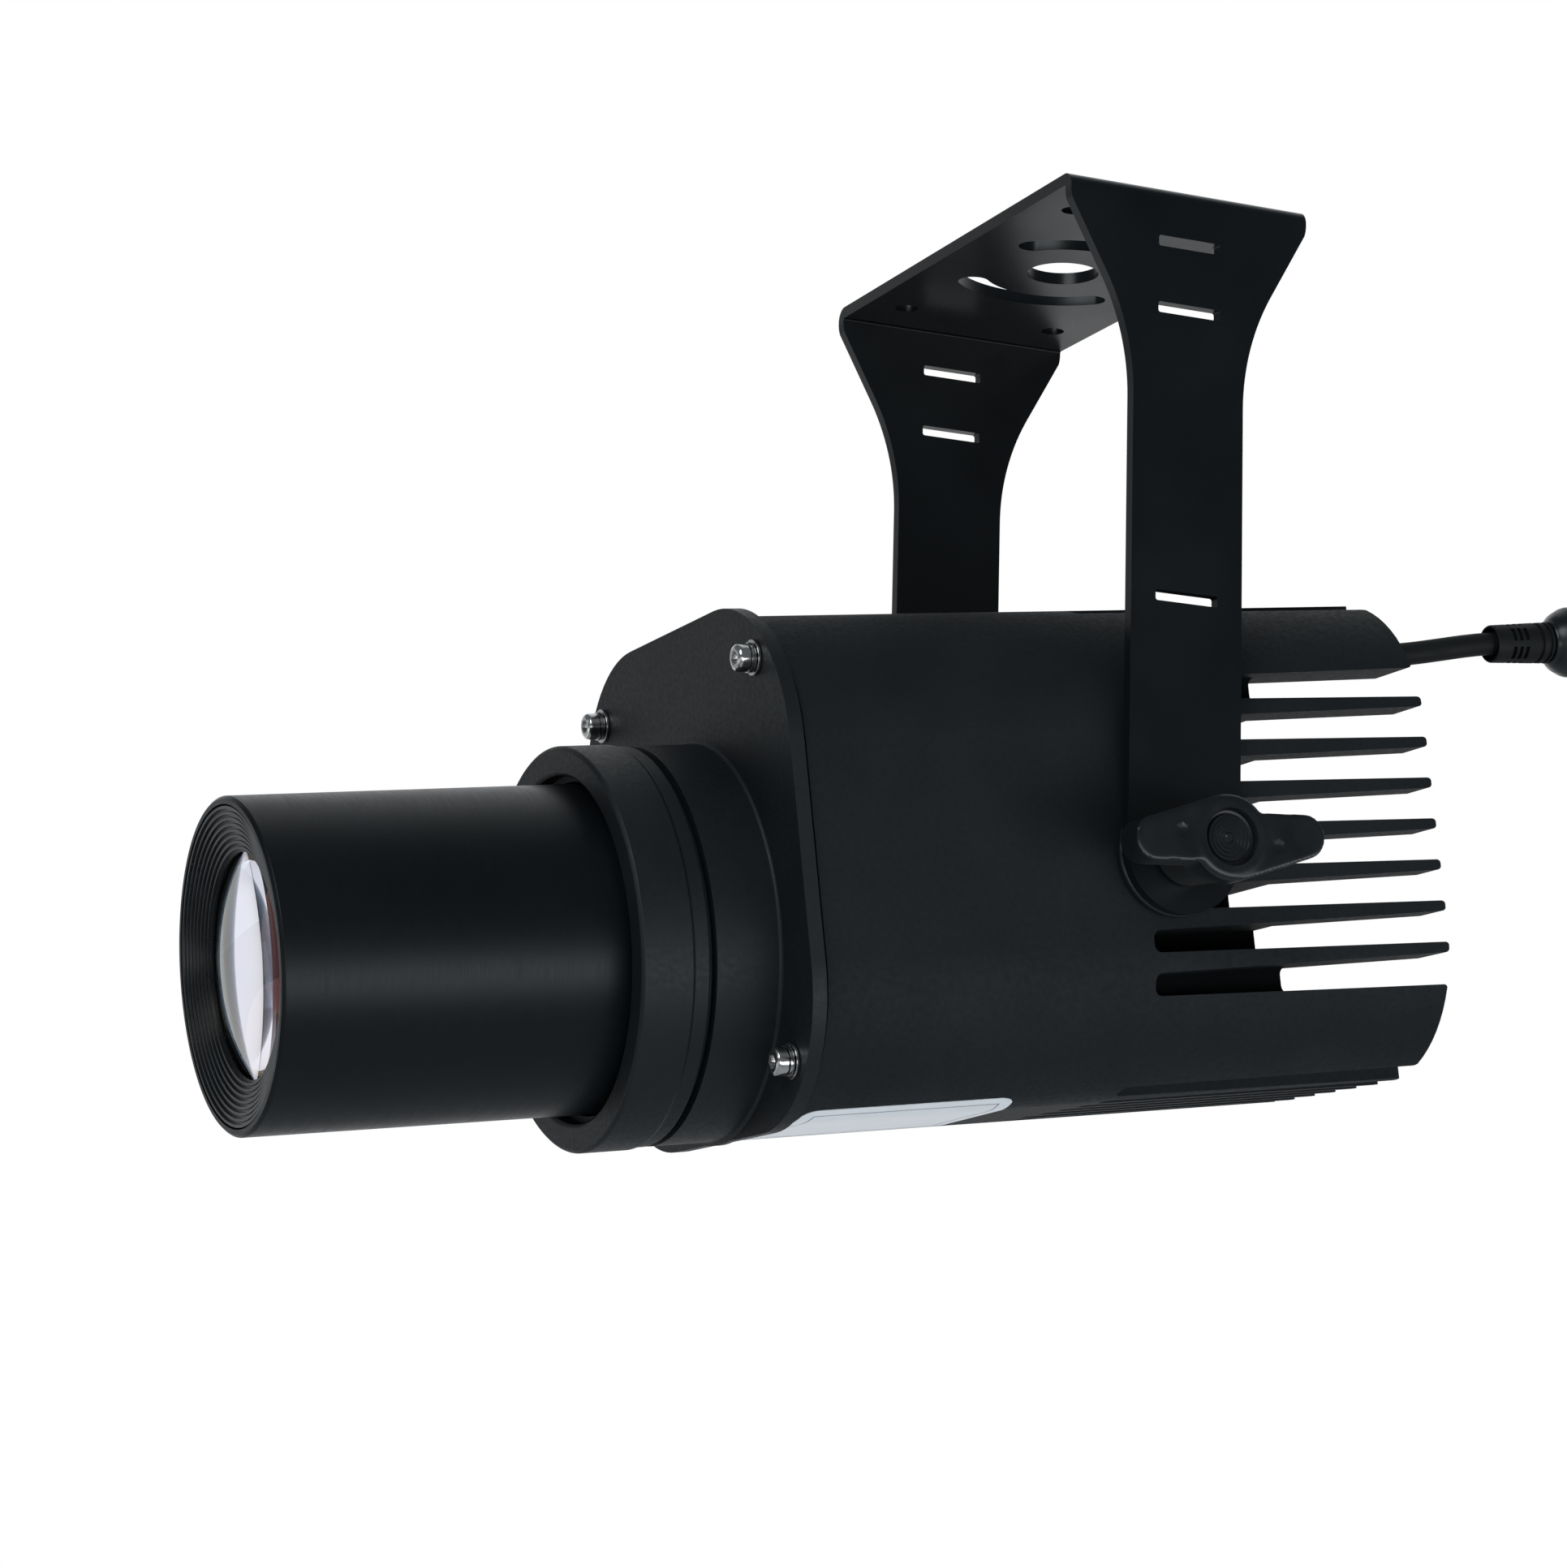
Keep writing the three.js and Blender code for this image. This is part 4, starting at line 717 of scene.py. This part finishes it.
housing = rounded_block("housing", BODY_FRONT, BODY_REAR, 2 * BODY_HALF, BODY_ROUND, 18)
subtract(housing, deep + rim + [rounded_block("pocket", POCKET_FLOOR, BODY_REAR + PAST, 84, 28, 16)])
for side in (-1, 1):
    boss = across_rod(13.5, *sorted((side * 33, side * BODY_HALF)), PIVOT_IN_HEAD, 64)
    subtract(housing, [boss], operation="UNION")
cuts = [rod(BODY_FRONT - PAST, CHAMBER_END, CHAMBER_RADIUS, CHAMBER_AXIS, 96),
        rod(CHAMBER_END - PAST, BODY_REAR + PAST, 2.8, CORD_EXIT, 32),
        rod(BODY_REAR - 6.3, BODY_REAR + PAST, 4.3, CORD_EXIT, 40)]
cuts += [across_rod(STUD_HOLE, *sorted((side * 38.7, side * 56)), PIVOT_IN_HEAD) for side in (-1, 1)]
cuts += [rod(BODY_FRONT - PAST, BODY_FRONT + 13.3, SCREW_HOLE, place, 24) for place in SCREW_PLACES]
cuts += [rod(CHAMBER_END - PAST, -6.7, SCREW_HOLE, (y, OPTIC_Z), 24) for y in (-17.5, 17.5)]
cuts.append(placed(block("wire_pocket", (-40, -6, 30), (CHAMBER_END, 6, 56)), (math.pi / 4, 0, 0)))
subtract(housing, cuts)
smooth(35)
apply_modifier(housing, "WEIGHTED_NORMAL", keep_sharp=True, weight=50)


def on_skin(vertex):
    """Whether a corner of the mesh lies on the casting's outside."""
    y, z = abs(vertex.co.y), abs(vertex.co.z)
    if min(y, z) < CORNER:
        return max(y, z) > BODY_HALF - 0.1
    return math.hypot(y - CORNER, z - CORNER) > BODY_ROUND - 0.2


def takes_painted_shade(face):
    """Whether a face is an end or a floor of a slot, in front of the rear pocket, and so gets the painted
    shade.
    """
    if not SLOT_FRONT - 0.5 < face.center.x < POCKET_FLOOR - 0.5:
        return False
    end_face = face.normal.x > 0.5 and face.center.x < SLOT_FRONT + 2
    return end_face or not any(on_skin(housing.data.vertices[i]) for i in face.vertices)


# The slots' ends and floors take the darker black as painted shade.
painted_shade_faces = [face.index for face in housing.data.polygons if takes_painted_shade(face)]
finished(housing, "housing", "head", POWDER)
housing.data.materials.append(SLOT_SHADE_PAINT)
for index in painted_shade_faces:
    housing.data.polygons[index].material_index = 1
print("housing", len(housing.data.polygons), "faces,", len(painted_shade_faces), "of them deep")

# %% [markdown]
# In front of the body sits the plate with its round collar, turned and milled from one piece. The
# collar flows into the plate with a small fillet. A thin black gasket shows as a dark line between
# the plate and the body, and four stainless socket screws hold it all, each on a spring washer and
# a flat washer.

# %% Front plate and gasket
PLATE_FRONT, PLATE_REAR, COLLAR_FRONT = -81, -78, -94.6
COLLAR_RADIUS, FILLET = 39.6, 0.8


def front_plate():
    plate = rounded_block("front_plate", PLATE_FRONT, PLATE_REAR, 103, 30, 20)
    subtract(plate, [rod(PLATE_FRONT - PAST, PLATE_REAR + PAST, 35, OPTIC, 128)])
    fillet = []
    for i in range(8):
        angle = math.radians(i * 90 / 7)
        fillet.append((PLATE_FRONT - FILLET * (1 - math.sin(angle)),
                       COLLAR_RADIUS + FILLET * (1 - math.cos(angle))))
    front = [(COLLAR_FRONT, 36.3), (COLLAR_FRONT, COLLAR_RADIUS)]
    rear = [(PLATE_FRONT + 1.5, 40.4), (PLATE_FRONT + 1.5, 34.9), (PLATE_REAR, 34.9),
            (PLATE_REAR, 33.3), (-83, 33.3), (-83, 36.3)]
    subtract(plate, [turned("collar", front + fillet + rear, 128, OPTIC)], operation="UNION")
    subtract(plate, [rod(PLATE_FRONT - PAST, PLATE_REAR + PAST, SCREW_HOLE, place, 24)
                     for place in SCREW_PLACES])
    return finished(soften(plate, 0.3, 3, 50), "front_plate", "head", RING_COAT)


plate = front_plate()
gasket = rounded_block("front_gasket", -77.75, -77.25, 99, 28.5, 16)
subtract(gasket, [rod(PLATE_REAR - PAST, BODY_FRONT + PAST, CHAMBER_RADIUS, CHAMBER_AXIS, 96)]
         + [rod(PLATE_REAR - PAST, BODY_FRONT + PAST, SCREW_HOLE, place, 24) for place in SCREW_PLACES])
finished(soften(gasket, 0.12, 2), "front_gasket", "head", RUBBER)
print("plate", len(plate.data.polygons), "faces")

# %% [markdown]
# The screws are standard socket caps. One is turned, gets its six-sided socket, and is copied to
# the four corners with a spring washer and a flat washer under each head. Copies have meshes of
# their own, because each is a separate part.

# %% Plate screws
def cap_screw(seat, shank_end):
    shank = [(shank_end, 1.1), (shank_end - 0.4, 1.5), (seat, 1.5), (seat, 2.75)]
    dome = [(seat - rise, radius) for rise, radius in
            ((1.5, 2.75), (1.95, 2.64), (2.25, 2.38), (2.41, 2.0), (2.44, 1.75))]
    head = turned("screw", shank + dome, 48, closed=False)
    return soften(subtract(head, [rod(seat - 5, seat - 1, 1.45, segments=6)]), 0.09, 2, 25)


def ring_piece(name, x0, x1, inner, outer, round_by, segments=64):
    ring = turned(name, [(x0, inner), (x0, outer), (x1, outer), (x1, inner)], segments)
    return soften(ring, round_by, 3)


FLAT_FRONT, SPRING_FRONT, HEAD_SEAT = -81.7, -82.7, -82.9
screw = cap_screw(HEAD_SEAT, -64)
spring = turned("spring", [(SPRING_FRONT, SCREW_HOLE), (SPRING_FRONT, 2.95), (SPRING_FRONT + 0.8, 2.95),
                           (SPRING_FRONT + 0.8, SCREW_HOLE)], 48)
slit = block("slit", (SPRING_FRONT - 1, -0.35, 0), (SPRING_FRONT + 2, 0.35, 5))
soften(subtract(spring, [slit]), 0.1, 2)
flat = ring_piece("flat", FLAT_FRONT, FLAT_FRONT + 0.5, SCREW_HOLE, 3.5, 0.08)
for number, corner in enumerate(SCREW_PLACES, 1):
    for kind, piece in (("plate_screw", screw), ("spring_washer", spring), ("flat_washer", flat)):
        copy = placed(duplicate(piece), location=(0, *corner))
        finished(copy, f"{kind}_{number}", "head", STEEL)
for piece in (screw, spring, flat):
    bpy.data.objects.remove(piece)
print("screws placed", len(SCREW_PLACES))

# %% [markdown]
# The lens unit is all turned work. The big ring screws into the collar and closes on a black
# O-ring. The barrel slides through the ring with a fine thread, and its mouth holds a stepped
# hood. The steps are small sharp ledges that stop stray light, and they show as bright hairlines.

# %% Lens ring and seals
RING_FRONT, RING_REAR = -110.2, -95.9
SEAL_RADIUS, SEAL_SIDES = 0.55, 14


def lens_ring():
    return turned("lens_ring", [
        (RING_FRONT, 34.9), (RING_FRONT, 39.4), (RING_FRONT + 0.6, 40), (RING_REAR - 3.7, 40),
        (RING_REAR - 3.3, 39.6), (RING_REAR - 0.3, 39.6), (RING_REAR, 39.3), (RING_REAR, 36),
        (RING_REAR + 12.6, 36), (RING_REAR + 12.6, 32.8), (RING_FRONT + 3.3, 32.8),
        (RING_FRONT + 3.3, 34.2), (RING_FRONT + 0.6, 34.2)], 160, OPTIC)


def seal(name, x, radius):
    profile = []
    for i in range(SEAL_SIDES):
        angle = math.radians(i * 360 / SEAL_SIDES)
        profile.append((x + SEAL_RADIUS * math.cos(angle), radius + SEAL_RADIUS * math.sin(angle)))
    ring = turned(name, profile, 128, OPTIC)
    bpy.ops.object.shade_smooth()
    return ring


ring = finished(soften(lens_ring(), 0.22, 3, 25), "lens_ring", "ring", RING_COAT)
finished(seal("flange_seal", -95.25, 37.6), "flange_seal", "ring_thread", RUBBER)
finished(seal("focus_seal", -92.35, 32.15), "focus_seal", "focus_thread", RUBBER)
print("lens ring", len(ring.data.polygons), "faces")

# %% Barrel and hood
BARREL_FRONT, HOOD_REAR, HOOD_OUTER, HOOD_INNER = -178.5, -174.6, 30.6, 21.7


def barrel():
    return turned("lens_barrel", [
        (BARREL_FRONT, 30.9), (BARREL_FRONT, 31.9), (BARREL_FRONT + 0.6, 32.5), (-93.1, 32.5), (-93.1, 31.4),
        (-91.6, 31.4), (-91.6, 32.5), (-90, 32.5), (-90, 30), (-174.3, 30), (-174.3, 30.9)], 192, OPTIC)


def hood_ring():
    """Eight ledges from the rim in to the glass, each a fine lip and a shallow groove behind it."""
    width = (HOOD_OUTER - HOOD_INNER) / 8
    profile = [(HOOD_REAR, HOOD_OUTER)]
    for i in range(8):
        x, radius = BARREL_FRONT + 0.2 + 0.37 * i, HOOD_OUTER - i * width
        profile += [(x, radius), (x, radius - 0.55 * width), (x + 0.6, radius - 0.62 * width),
                    (x + 0.6, radius - 0.97 * width)]
    return turned("hood_ring", profile + [(HOOD_REAR, HOOD_INNER)], 160, OPTIC)


tube = finished(soften(barrel(), 0.12, 2, 25), "lens_barrel", "barrel", ANODISED)
hood = finished(soften(hood_ring(), 0.05, 1, 40), "hood_ring", "barrel", PLASTIC)
print("barrel", len(tube.data.polygons), "hood", len(hood.data.polygons))

# %% [markdown]
# A lens face is part of a ball. Its profile is followed from the middle to the rim in many short
# steps, so that reflections bend as they do in real glass, and the rim is a plain cylinder.

# %% Lenses and their cell
LENS_STEPS = 20


def fall(curve, radius):
    return curve - math.sqrt(curve * curve - radius * radius)


def lens(name, rim, back, radius, curve):
    """A face that bulges forward from the rim's place, and a flat back."""
    profile = [(back, ON_AXIS), (back, radius)]
    for i in range(LENS_STEPS, 0, -1):
        r = radius * i / LENS_STEPS
        profile.append((rim - (fall(curve, radius) - fall(curve, r)), r))
    profile.append((rim - fall(curve, radius), ON_AXIS))
    glass = turned(name, profile, 96, OPTIC, closed=False)
    smooth(30)
    return glass


def lens_cell():
    cell = turned("lens_cell", [
        (-174.3, 24.3), (-174.3, 29.7), (-139.8, 29.7), (-139.8, 22.3), (-153.7, 22.3),
        (-153.7, 20.5), (-165.7, 20.5), (-165.7, 24.3)], 96, OPTIC)
    return soften(cell, 0.1, 1)


REAR_LENS_RIM = -153.7 + fall(50, 22) - fall(50, 20.5) + 0.3
finished(lens("front_lens", -173.2, -166.0, 24, 60), "front_lens", "barrel", GLASS)
finished(lens("rear_lens", REAR_LENS_RIM, REAR_LENS_RIM + 5.6, 22, 50), "rear_lens", "barrel", GLASS)
finished(lens_cell(), "lens_cell", "barrel", ANODISED)
print("rear lens rim at", round(REAR_LENS_RIM, 2))

# %% [markdown]
# The head is clamped by two knobs. Each is moulded in one piece: a hub that flares to its face, and
# two wings set like a pinwheel, so that one edge of a wing runs straight off the hub and the other
# meets it in a notch. The wings are hulls round two short rods. The joined shape is remeshed and
# smoothed, which gives a moulding's soft inside corners. The round recess with its fine rings and
# the two dimples are cut afterwards, so that they stay crisp.

# %% Wing knob
KNOB_SEAT, KNOB_FACE = 55.3, 74
WING_FACE, DIMPLE_RADIUS, DIMPLE_DEPTH = KNOB_FACE - 0.4, 5, 0.25


def wing(direction):
    tip = rod(66.6, WING_FACE, 4.35, (direction * 16.4, direction * 1.6), 40)
    root = rod(66.0, WING_FACE, 6.6, (direction * 1.5, -direction * 1.6), 40)
    hull = joined([tip, root])
    edit(hull)
    bpy.ops.mesh.convex_hull()
    leave()
    apply_modifier(hull, "BEVEL", width=1.3, segments=5, limit_method="ANGLE", angle_limit=math.radians(40))
    return hull


def knob_recess():
    places = [(2, ON_AXIS), (2, 6.1), (0.1, 6.1), (-0.15, 5.7), (-0.7, 5.45), (-1.7, 5.3), (-1.8, 4.8)]
    for radius in (4.7, 3.9, 3.1, 2.3, 1.5):
        places += [(-1.5, radius), (-1.3, radius - 0.15), (-1.3, radius - 0.35), (-1.5, radius - 0.5)]
    places += [(-1.2, 0.7), (-1.2, ON_AXIS)]
    return turned("recess", [(KNOB_FACE + x, radius) for x, radius in places], 64, closed=False)


def dimple(across, up):
    centre = WING_FACE + DIMPLE_RADIUS - DIMPLE_DEPTH
    bpy.ops.mesh.primitive_uv_sphere_add(segments=32, ring_count=20, radius=DIMPLE_RADIUS,
                                         location=(centre, across, up))
    ball = bpy.context.object
    apply_place(ball)
    return ball


def wing_knob():
    flank = [(KNOB_SEAT, 6.7), (KNOB_SEAT + 0.5, 7.1), (KNOB_SEAT + 9, 7.7), (KNOB_FACE - 1.2, 8.5)]
    brow = [(KNOB_FACE - 0.7, 8.3), (KNOB_FACE - 0.35, 7.9), (KNOB_FACE - 0.2, 7.2)]
    hub = turned("wing_knob", flank + brow, 64, closed=False)
    subtract(hub, [wing(1), wing(-1)], operation="UNION", solver="EXACT")
    apply_modifier(hub, "REMESH", mode="VOXEL", voxel_size=0.36)
    apply_modifier(hub, "SMOOTH", factor=0.5, iterations=8)
    stud_hole = rod(KNOB_SEAT - PAST, 67, STUD_HOLE, segments=40)
    subtract(hub, [knob_recess(), dimple(10.4, -1), dimple(-10.9, 0.3), stud_hole])
    smooth(35)
    return hub


def pivot_place(side):
    """side is -1 for the near side and 1 for the far side."""
    return (TO_PIVOT @ Matrix.Rotation(side * math.pi / 2, 4, "Z")
            @ Matrix.Rotation(side * TILT, 4, "X") @ Matrix.Scale(MM, 4))


near_knob = wing_knob()
far_knob = duplicate(near_knob)
finished(near_knob, "wing_knob_near", "knob_near", PLASTIC, pivot_place(-1))
finished(far_knob, "wing_knob_far", "knob_far", PLASTIC, pivot_place(1))
print("knob", len(near_knob.data.polygons), "faces")

# %% Friction washers
for label, side in (("near", -1), ("far", 1)):
    washer = ring_piece("washer", 50.3, 52.2, STUD_HOLE, 12.8, 0.75, 96)
    finished(washer, f"friction_washer_{label}", "bracket", PLASTIC, pivot_place(side))
print("friction washers placed")

# %% [markdown]
# The cord goes in through a rubber grommet, and ends in a moulded boot and a screw connector. The
# boot has grooves round its head and short slots in its tail, so that it bends without kinking.
# The nut flares from the boot and has flutes for the fingers.

# %% Grommet and boot
BOOT_FRONT, CONNECTOR = 88.5, (-37.3, 38.9)


def grommet():
    profile = [(56, 2.7), (56, 4), (62.75, 4), (63.2, 3.8), (63.5, 3.35), (63.5, 2.7)]
    return soften(turned("cord_grommet", profile, 64, CORD_EXIT), 0.15, 2)


def boot_radius(x):
    return 3.95 + 0.4 * x / 14


def boot():
    """A tapered sleeve with an open mouth, two grooves round its head and flexing slots in its tail."""
    profile = [(0, 2.4), (1.6, 2.4), (1.6, 3.3), (0.3, 3.4), (0, 3.6), (0.1, 3.8), (0.4, 3.95)]
    for x in (10.4, 12.4):
        top = boot_radius(x)
        profile += [(x, top), (x + 0.12, top - 0.5), (x + 0.78, top - 0.5), (x + 0.9, top)]
    profile += [(13.6, 4.35), (13.9, 4.1), (14, 3.7)]
    sleeve = turned("cord_boot", [(BOOT_FRONT + x, r) for x, r in profile], 64, CONNECTOR, closed=False)
    slots = []
    for x in (3.6, 5.1, 6.6):
        low, high = (BOOT_FRONT + x, -1.45, boot_radius(x) - 0.9), (BOOT_FRONT + x + 0.85, 1.45, 6)
        for turn in range(6):
            angle = math.radians(10 + turn * 60)
            slots.append(placed(block("slot", low, high), (angle, 0, 0), (0, *CONNECTOR)))
    return soften(subtract(sleeve, slots), 0.12, 2)


finished(grommet(), "cord_grommet", "head", RUBBER)
boot_piece = finished(boot(), "cord_boot", "head", RUBBER)
print("boot", len(boot_piece.data.polygons), "faces")

# %% Connector nut and insert
NUT_FRONT = BOOT_FRONT + 14.3


def round_connector(count, radius):
    """Places spaced evenly round the connector's axis."""
    angles = [i * math.tau / count for i in range(count)]
    return [(CONNECTOR[0] + radius * math.cos(a), CONNECTOR[1] + radius * math.sin(a)) for a in angles]


def connector_nut():
    profile = [(0, 3.5), (0, 4.3), (0.3, 4.6), (1.0, 5.0), (2.4, 6.3), (4.2, 7.2), (5.0, 7.4), (12.4, 7.4),
               (12.8, 7.25), (13, 6.9), (13, 5.7), (1.95, 5.7), (1.6, 3.5)]
    nut = turned("connector_nut", [(NUT_FRONT + x, r) for x, r in profile], 112, CONNECTOR)
    flutes = [rod(NUT_FRONT + 5.1, NUT_FRONT + 15, 0.7, place, 20) for place in round_connector(14, 7.75)]
    return soften(subtract(nut, flutes), 0.12, 2)


def connector_insert():
    profile = [(0, 2.8), (0, 3.2), (2.2, 3.2), (2.5, 5.4), (12.3, 5.4), (12.3, 4.4), (8.1, 4.4),
               (8.1, ON_AXIS)]
    core = turned("connector_insert", [(NUT_FRONT + x, r) for x, r in profile], 64, CONNECTOR, closed=False)
    pin = [(NUT_FRONT + 7, 0.7), (NUT_FRONT + 11.2, 0.7), (NUT_FRONT + 11.5, 0.4)]
    pins = [turned("pin", pin, 20, place, closed=False) for place in round_connector(3, 2.2)]
    return soften(subtract(core, pins, operation="UNION"), 0.08, 2)


nut_piece = finished(connector_nut(), "connector_nut", "nut", PLASTIC)
core_piece = finished(connector_insert(), "connector_insert", "head", PLASTIC)
print("nut", len(nut_piece.data.polygons), "faces")

# %% [markdown]
# A bare white plate is stuck to the underside and wraps a little way up the near corner. It is a
# strip that follows the body's skin, a tenth of a millimetre thick, with round corners. A thin grey
# line runs round inside its edge, made of four narrow strips in the same way.

# %% Strips on the body's skin
PLATE_START = math.radians(250)
CORNER_ARC = BODY_ROUND * (math.radians(270) - PLATE_START)
PLATE_RUN = CORNER_ARC + 39


def skin_place(run, lift):
    """A place (y, z) over the skin, by the distance along it from the plate's upper edge inwards."""
    if run < CORNER_ARC:
        angle, reach = PLATE_START + run / BODY_ROUND, BODY_ROUND + lift
        return reach * math.cos(angle) - CORNER, reach * math.sin(angle) - CORNER
    return run - CORNER_ARC - CORNER, -BODY_HALF - lift


def skin_strip(name, start, stop, ends, lift, thickness):
    """A strip laid along the skin from one run to another; ends gives its two x places at a run."""
    count = max(2, round((stop - start) / 0.5))
    rows = []
    for run in (start + (stop - start) * i / count for i in range(count + 1)):
        low, high = ends(run)
        rows.append(((low + high) / 2, (high - low) / 2, *skin_place(run, lift)))
    obj = strip(name, rows)
    outward = obj.data.polygons[-1].normal.z < 0
    apply_modifier(obj, "SOLIDIFY", thickness=thickness, offset=1 if outward else -1)
    smooth(30)
    return obj


print("plate length along the skin", round(PLATE_RUN, 1))

# %% Label plate
LINE_INSET, LINE_WIDTH = 2.8, 0.3


def plate_ends(run):
    inset = min(run, PLATE_RUN - run)
    cut_back = 3 - math.sqrt(max(0, 9 - (3 - inset) ** 2)) if inset < 3 else 0
    return -75.5 + cut_back, -30 + 0.15 * run - cut_back


def line_ends(run):
    return -72.7, -33 + 0.15 * run


def label_line(start, stop, ends):
    return skin_strip("line", start, stop, ends, 0.14, 0.02)


label = skin_strip("label_plate", 0.01, PLATE_RUN - 0.01, plate_ends, 0.02, 0.12)
label.data.materials.append(LABEL)
lines = [label_line(start, start + LINE_WIDTH, line_ends)
         for start in (LINE_INSET, PLATE_RUN - LINE_INSET - LINE_WIDTH)]
for k in (0, 1):
    lines.append(label_line(LINE_INSET, PLATE_RUN - LINE_INSET,
                            lambda run: (line_ends(run)[k], line_ends(run)[k] + LINE_WIDTH)))
outline = joined(lines)
outline.name = outline.data.name = "label_line"
outline.data.materials.append(LINE)
for piece in (label, outline):
    settle(piece, TO_HEAD)
    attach(piece, "head")
print("label", len(label.data.polygons), "line", len(outline.data.polygons), "faces")

# %% [markdown]
# What can't be seen from outside, or only through the glass, keeps the frame's own solids. They
# still get finishes, because the lens unit comes off and the head can be looked into.

# %% Finishes for the frame's own pieces
INNER = {
    "rear_lens_retainer": ANODISED, "led_board": BOARD, "led_emitter": PHOSPHOR,
    "board_screw_1": STEEL, "board_screw_2": STEEL, "condenser_tube": ALUMINIUM,
    "condenser_lens_rear": GLASS, "condenser_lens_front": GLASS, "condenser_spacer": ALUMINIUM,
    "condenser_retainer": ALUMINIUM, "gobo_holder": ALUMINIUM, "gobo_disc": STEEL,
    "gobo_spring": STEEL, "led_lead": RUBBER, "knob_stud_near": STEEL, "knob_stud_far": STEEL,
}
for node, material in INNER.items():
    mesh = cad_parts[node].data
    mesh.materials.clear()
    mesh.materials.append(material)
print("inner pieces", len(INNER))

# %% [markdown]
# The studio is white behind the object and all round for the camera, as in the photograph. Glass
# and polished steel show the same white where they face away from the camera. The camera's own side
# of the room is dim, because black paint is only as dark as what it mirrors.

# %% Floor
def math_node(tree, operation, first, second):
    return add_node(tree, "Math", {0: first, 1: second}, operation=operation)["Value"]


def smooth_step(tree, value, low, high):
    return add_node(tree, "MapRange", {"Value": value, "From Min": low, "From Max": high},
                    interpolation_type="SMOOTHSTEP")["Result"]


def floor_material():
    """Pale near the lamp, and white far off, so that it runs into the backdrop without a line."""
    material, shader = new_material("studio_floor", (0.5, 0.5, 0.51), 0.7)
    tree = material.node_tree
    place, path = add_node(tree, "TexCoord", {})["Object"], add_node(tree, "LightPath", {})
    distance = add_node(tree, "VectorMath", {0: place}, operation="LENGTH")["Value"]
    far = smooth_step(tree, distance, 1.0, 2.6)
    level = math_node(tree, "ADD", math_node(tree, "MULTIPLY", far, 0.35), 0.62)
    seen = math_node(tree, "MAXIMUM", path["Is Camera Ray"], path["Is Transmission Ray"])
    mirrored = math_node(tree, "MULTIPLY", path["Is Glossy Ray"], far)
    clear = math_node(tree, "MULTIPLY", seen, level)
    faint = math_node(tree, "MULTIPLY", mirrored, 0.5)
    tree.links.new(math_node(tree, "MAXIMUM", clear, faint), shader.inputs["Emission Strength"])
    shader.inputs["Emission Color"].default_value = (1, 1, 1, 1)
    return material


bpy.ops.mesh.primitive_plane_add(size=12, location=(0, 0, -0.9))
floor = bpy.context.object
floor.name = "studio_floor"
floor.data.materials.append(floor_material())
print("floor at", round(floor.location.z, 3))

# %% World
AWAY_FROM_CAMERA = (0.6, 0.8, 0)
ROOM_COLOUR, WHITE = (0.9, 0.98, 1.07, 1), (1, 1, 1, 1)
ROOM_FRONT, ROOM_BACK = 0.12, 0.7


def studio_world():
    world = bpy.data.worlds.new("studio")
    bpy.context.scene.world = world
    world.use_nodes = True
    tree = world.node_tree
    tree.nodes.clear()
    place, path = add_node(tree, "TexCoord", {})["Generated"], add_node(tree, "LightPath", {})
    facing = add_node(tree, "VectorMath", {0: place, 1: AWAY_FROM_CAMERA}, operation="DOT_PRODUCT")
    behind = smooth_step(tree, facing["Value"], 0.25, 1.1)
    level = add_node(tree, "MapRange", {"Value": behind, "To Min": ROOM_FRONT, "To Max": ROOM_BACK})
    mirrored = math_node(tree, "MULTIPLY", path["Is Glossy Ray"], behind)
    clear = math_node(tree, "MAXIMUM", path["Is Camera Ray"], path["Is Transmission Ray"])
    white = math_node(tree, "MAXIMUM", clear, mirrored)
    room = add_node(tree, "Background", {"Color": ROOM_COLOUR, "Strength": level["Result"]})
    seen = add_node(tree, "Background", {"Color": WHITE})
    mix = add_node(tree, "MixShader", {"Fac": white, 1: room["Background"], 2: seen["Background"]})
    add_node(tree, "OutputWorld", {"Surface": mix["Shader"]})


studio_world()
print("world ready")

# %% [markdown]
# Six soft lamps shape the black. A strip stands low on the near side and the key high on the left,
# with two weak ones above and beyond. The last two only fill the shadows, so gloss doesn't mirror
# them.

# %% Lamps
LAMP_COLOUR = (0.9, 0.97, 1)


def soft_lamp(name, place, aim, width, height, power, mirrored=True):
    bpy.ops.object.light_add(type="AREA", location=place)
    lamp = bpy.context.object
    lamp.name = name
    lamp.data.shape = "RECTANGLE"
    lamp.data.size, lamp.data.size_y = width, height
    lamp.data.energy, lamp.data.color = power, LAMP_COLOUR
    lamp.rotation_euler = (Vector(aim) - Vector(place)).to_track_quat("-Z", "Y").to_euler()
    lamp.visible_glossy = mirrored


soft_lamp("low_strip", (0.18, -0.88, -0.43), (-0.05, 0, -0.14), 1.5, 0.3, 3.7)
soft_lamp("key_left", (-0.85, -0.75, 0.5), (-0.05, 0, -0.12), 0.7, 0.7, 6)
soft_lamp("soft_top", (0.4, 0.3, 1.0), (0, 0, -0.1), 0.9, 0.9, 0.9)
soft_lamp("soft_left", (-1.15, 0.72, -0.1), (-0.18, 0, -0.16), 0.3, 0.7, 0.5)
soft_lamp("under_fill", (-0.25, -0.1, -0.75), (-0.05, 0, -0.19), 0.6, 0.6, 1.6, mirrored=False)
soft_lamp("far_fill", (0.7, 1.0, 0.35), (0, 0, -0.12), 1.2, 0.9, 9, mirrored=False)
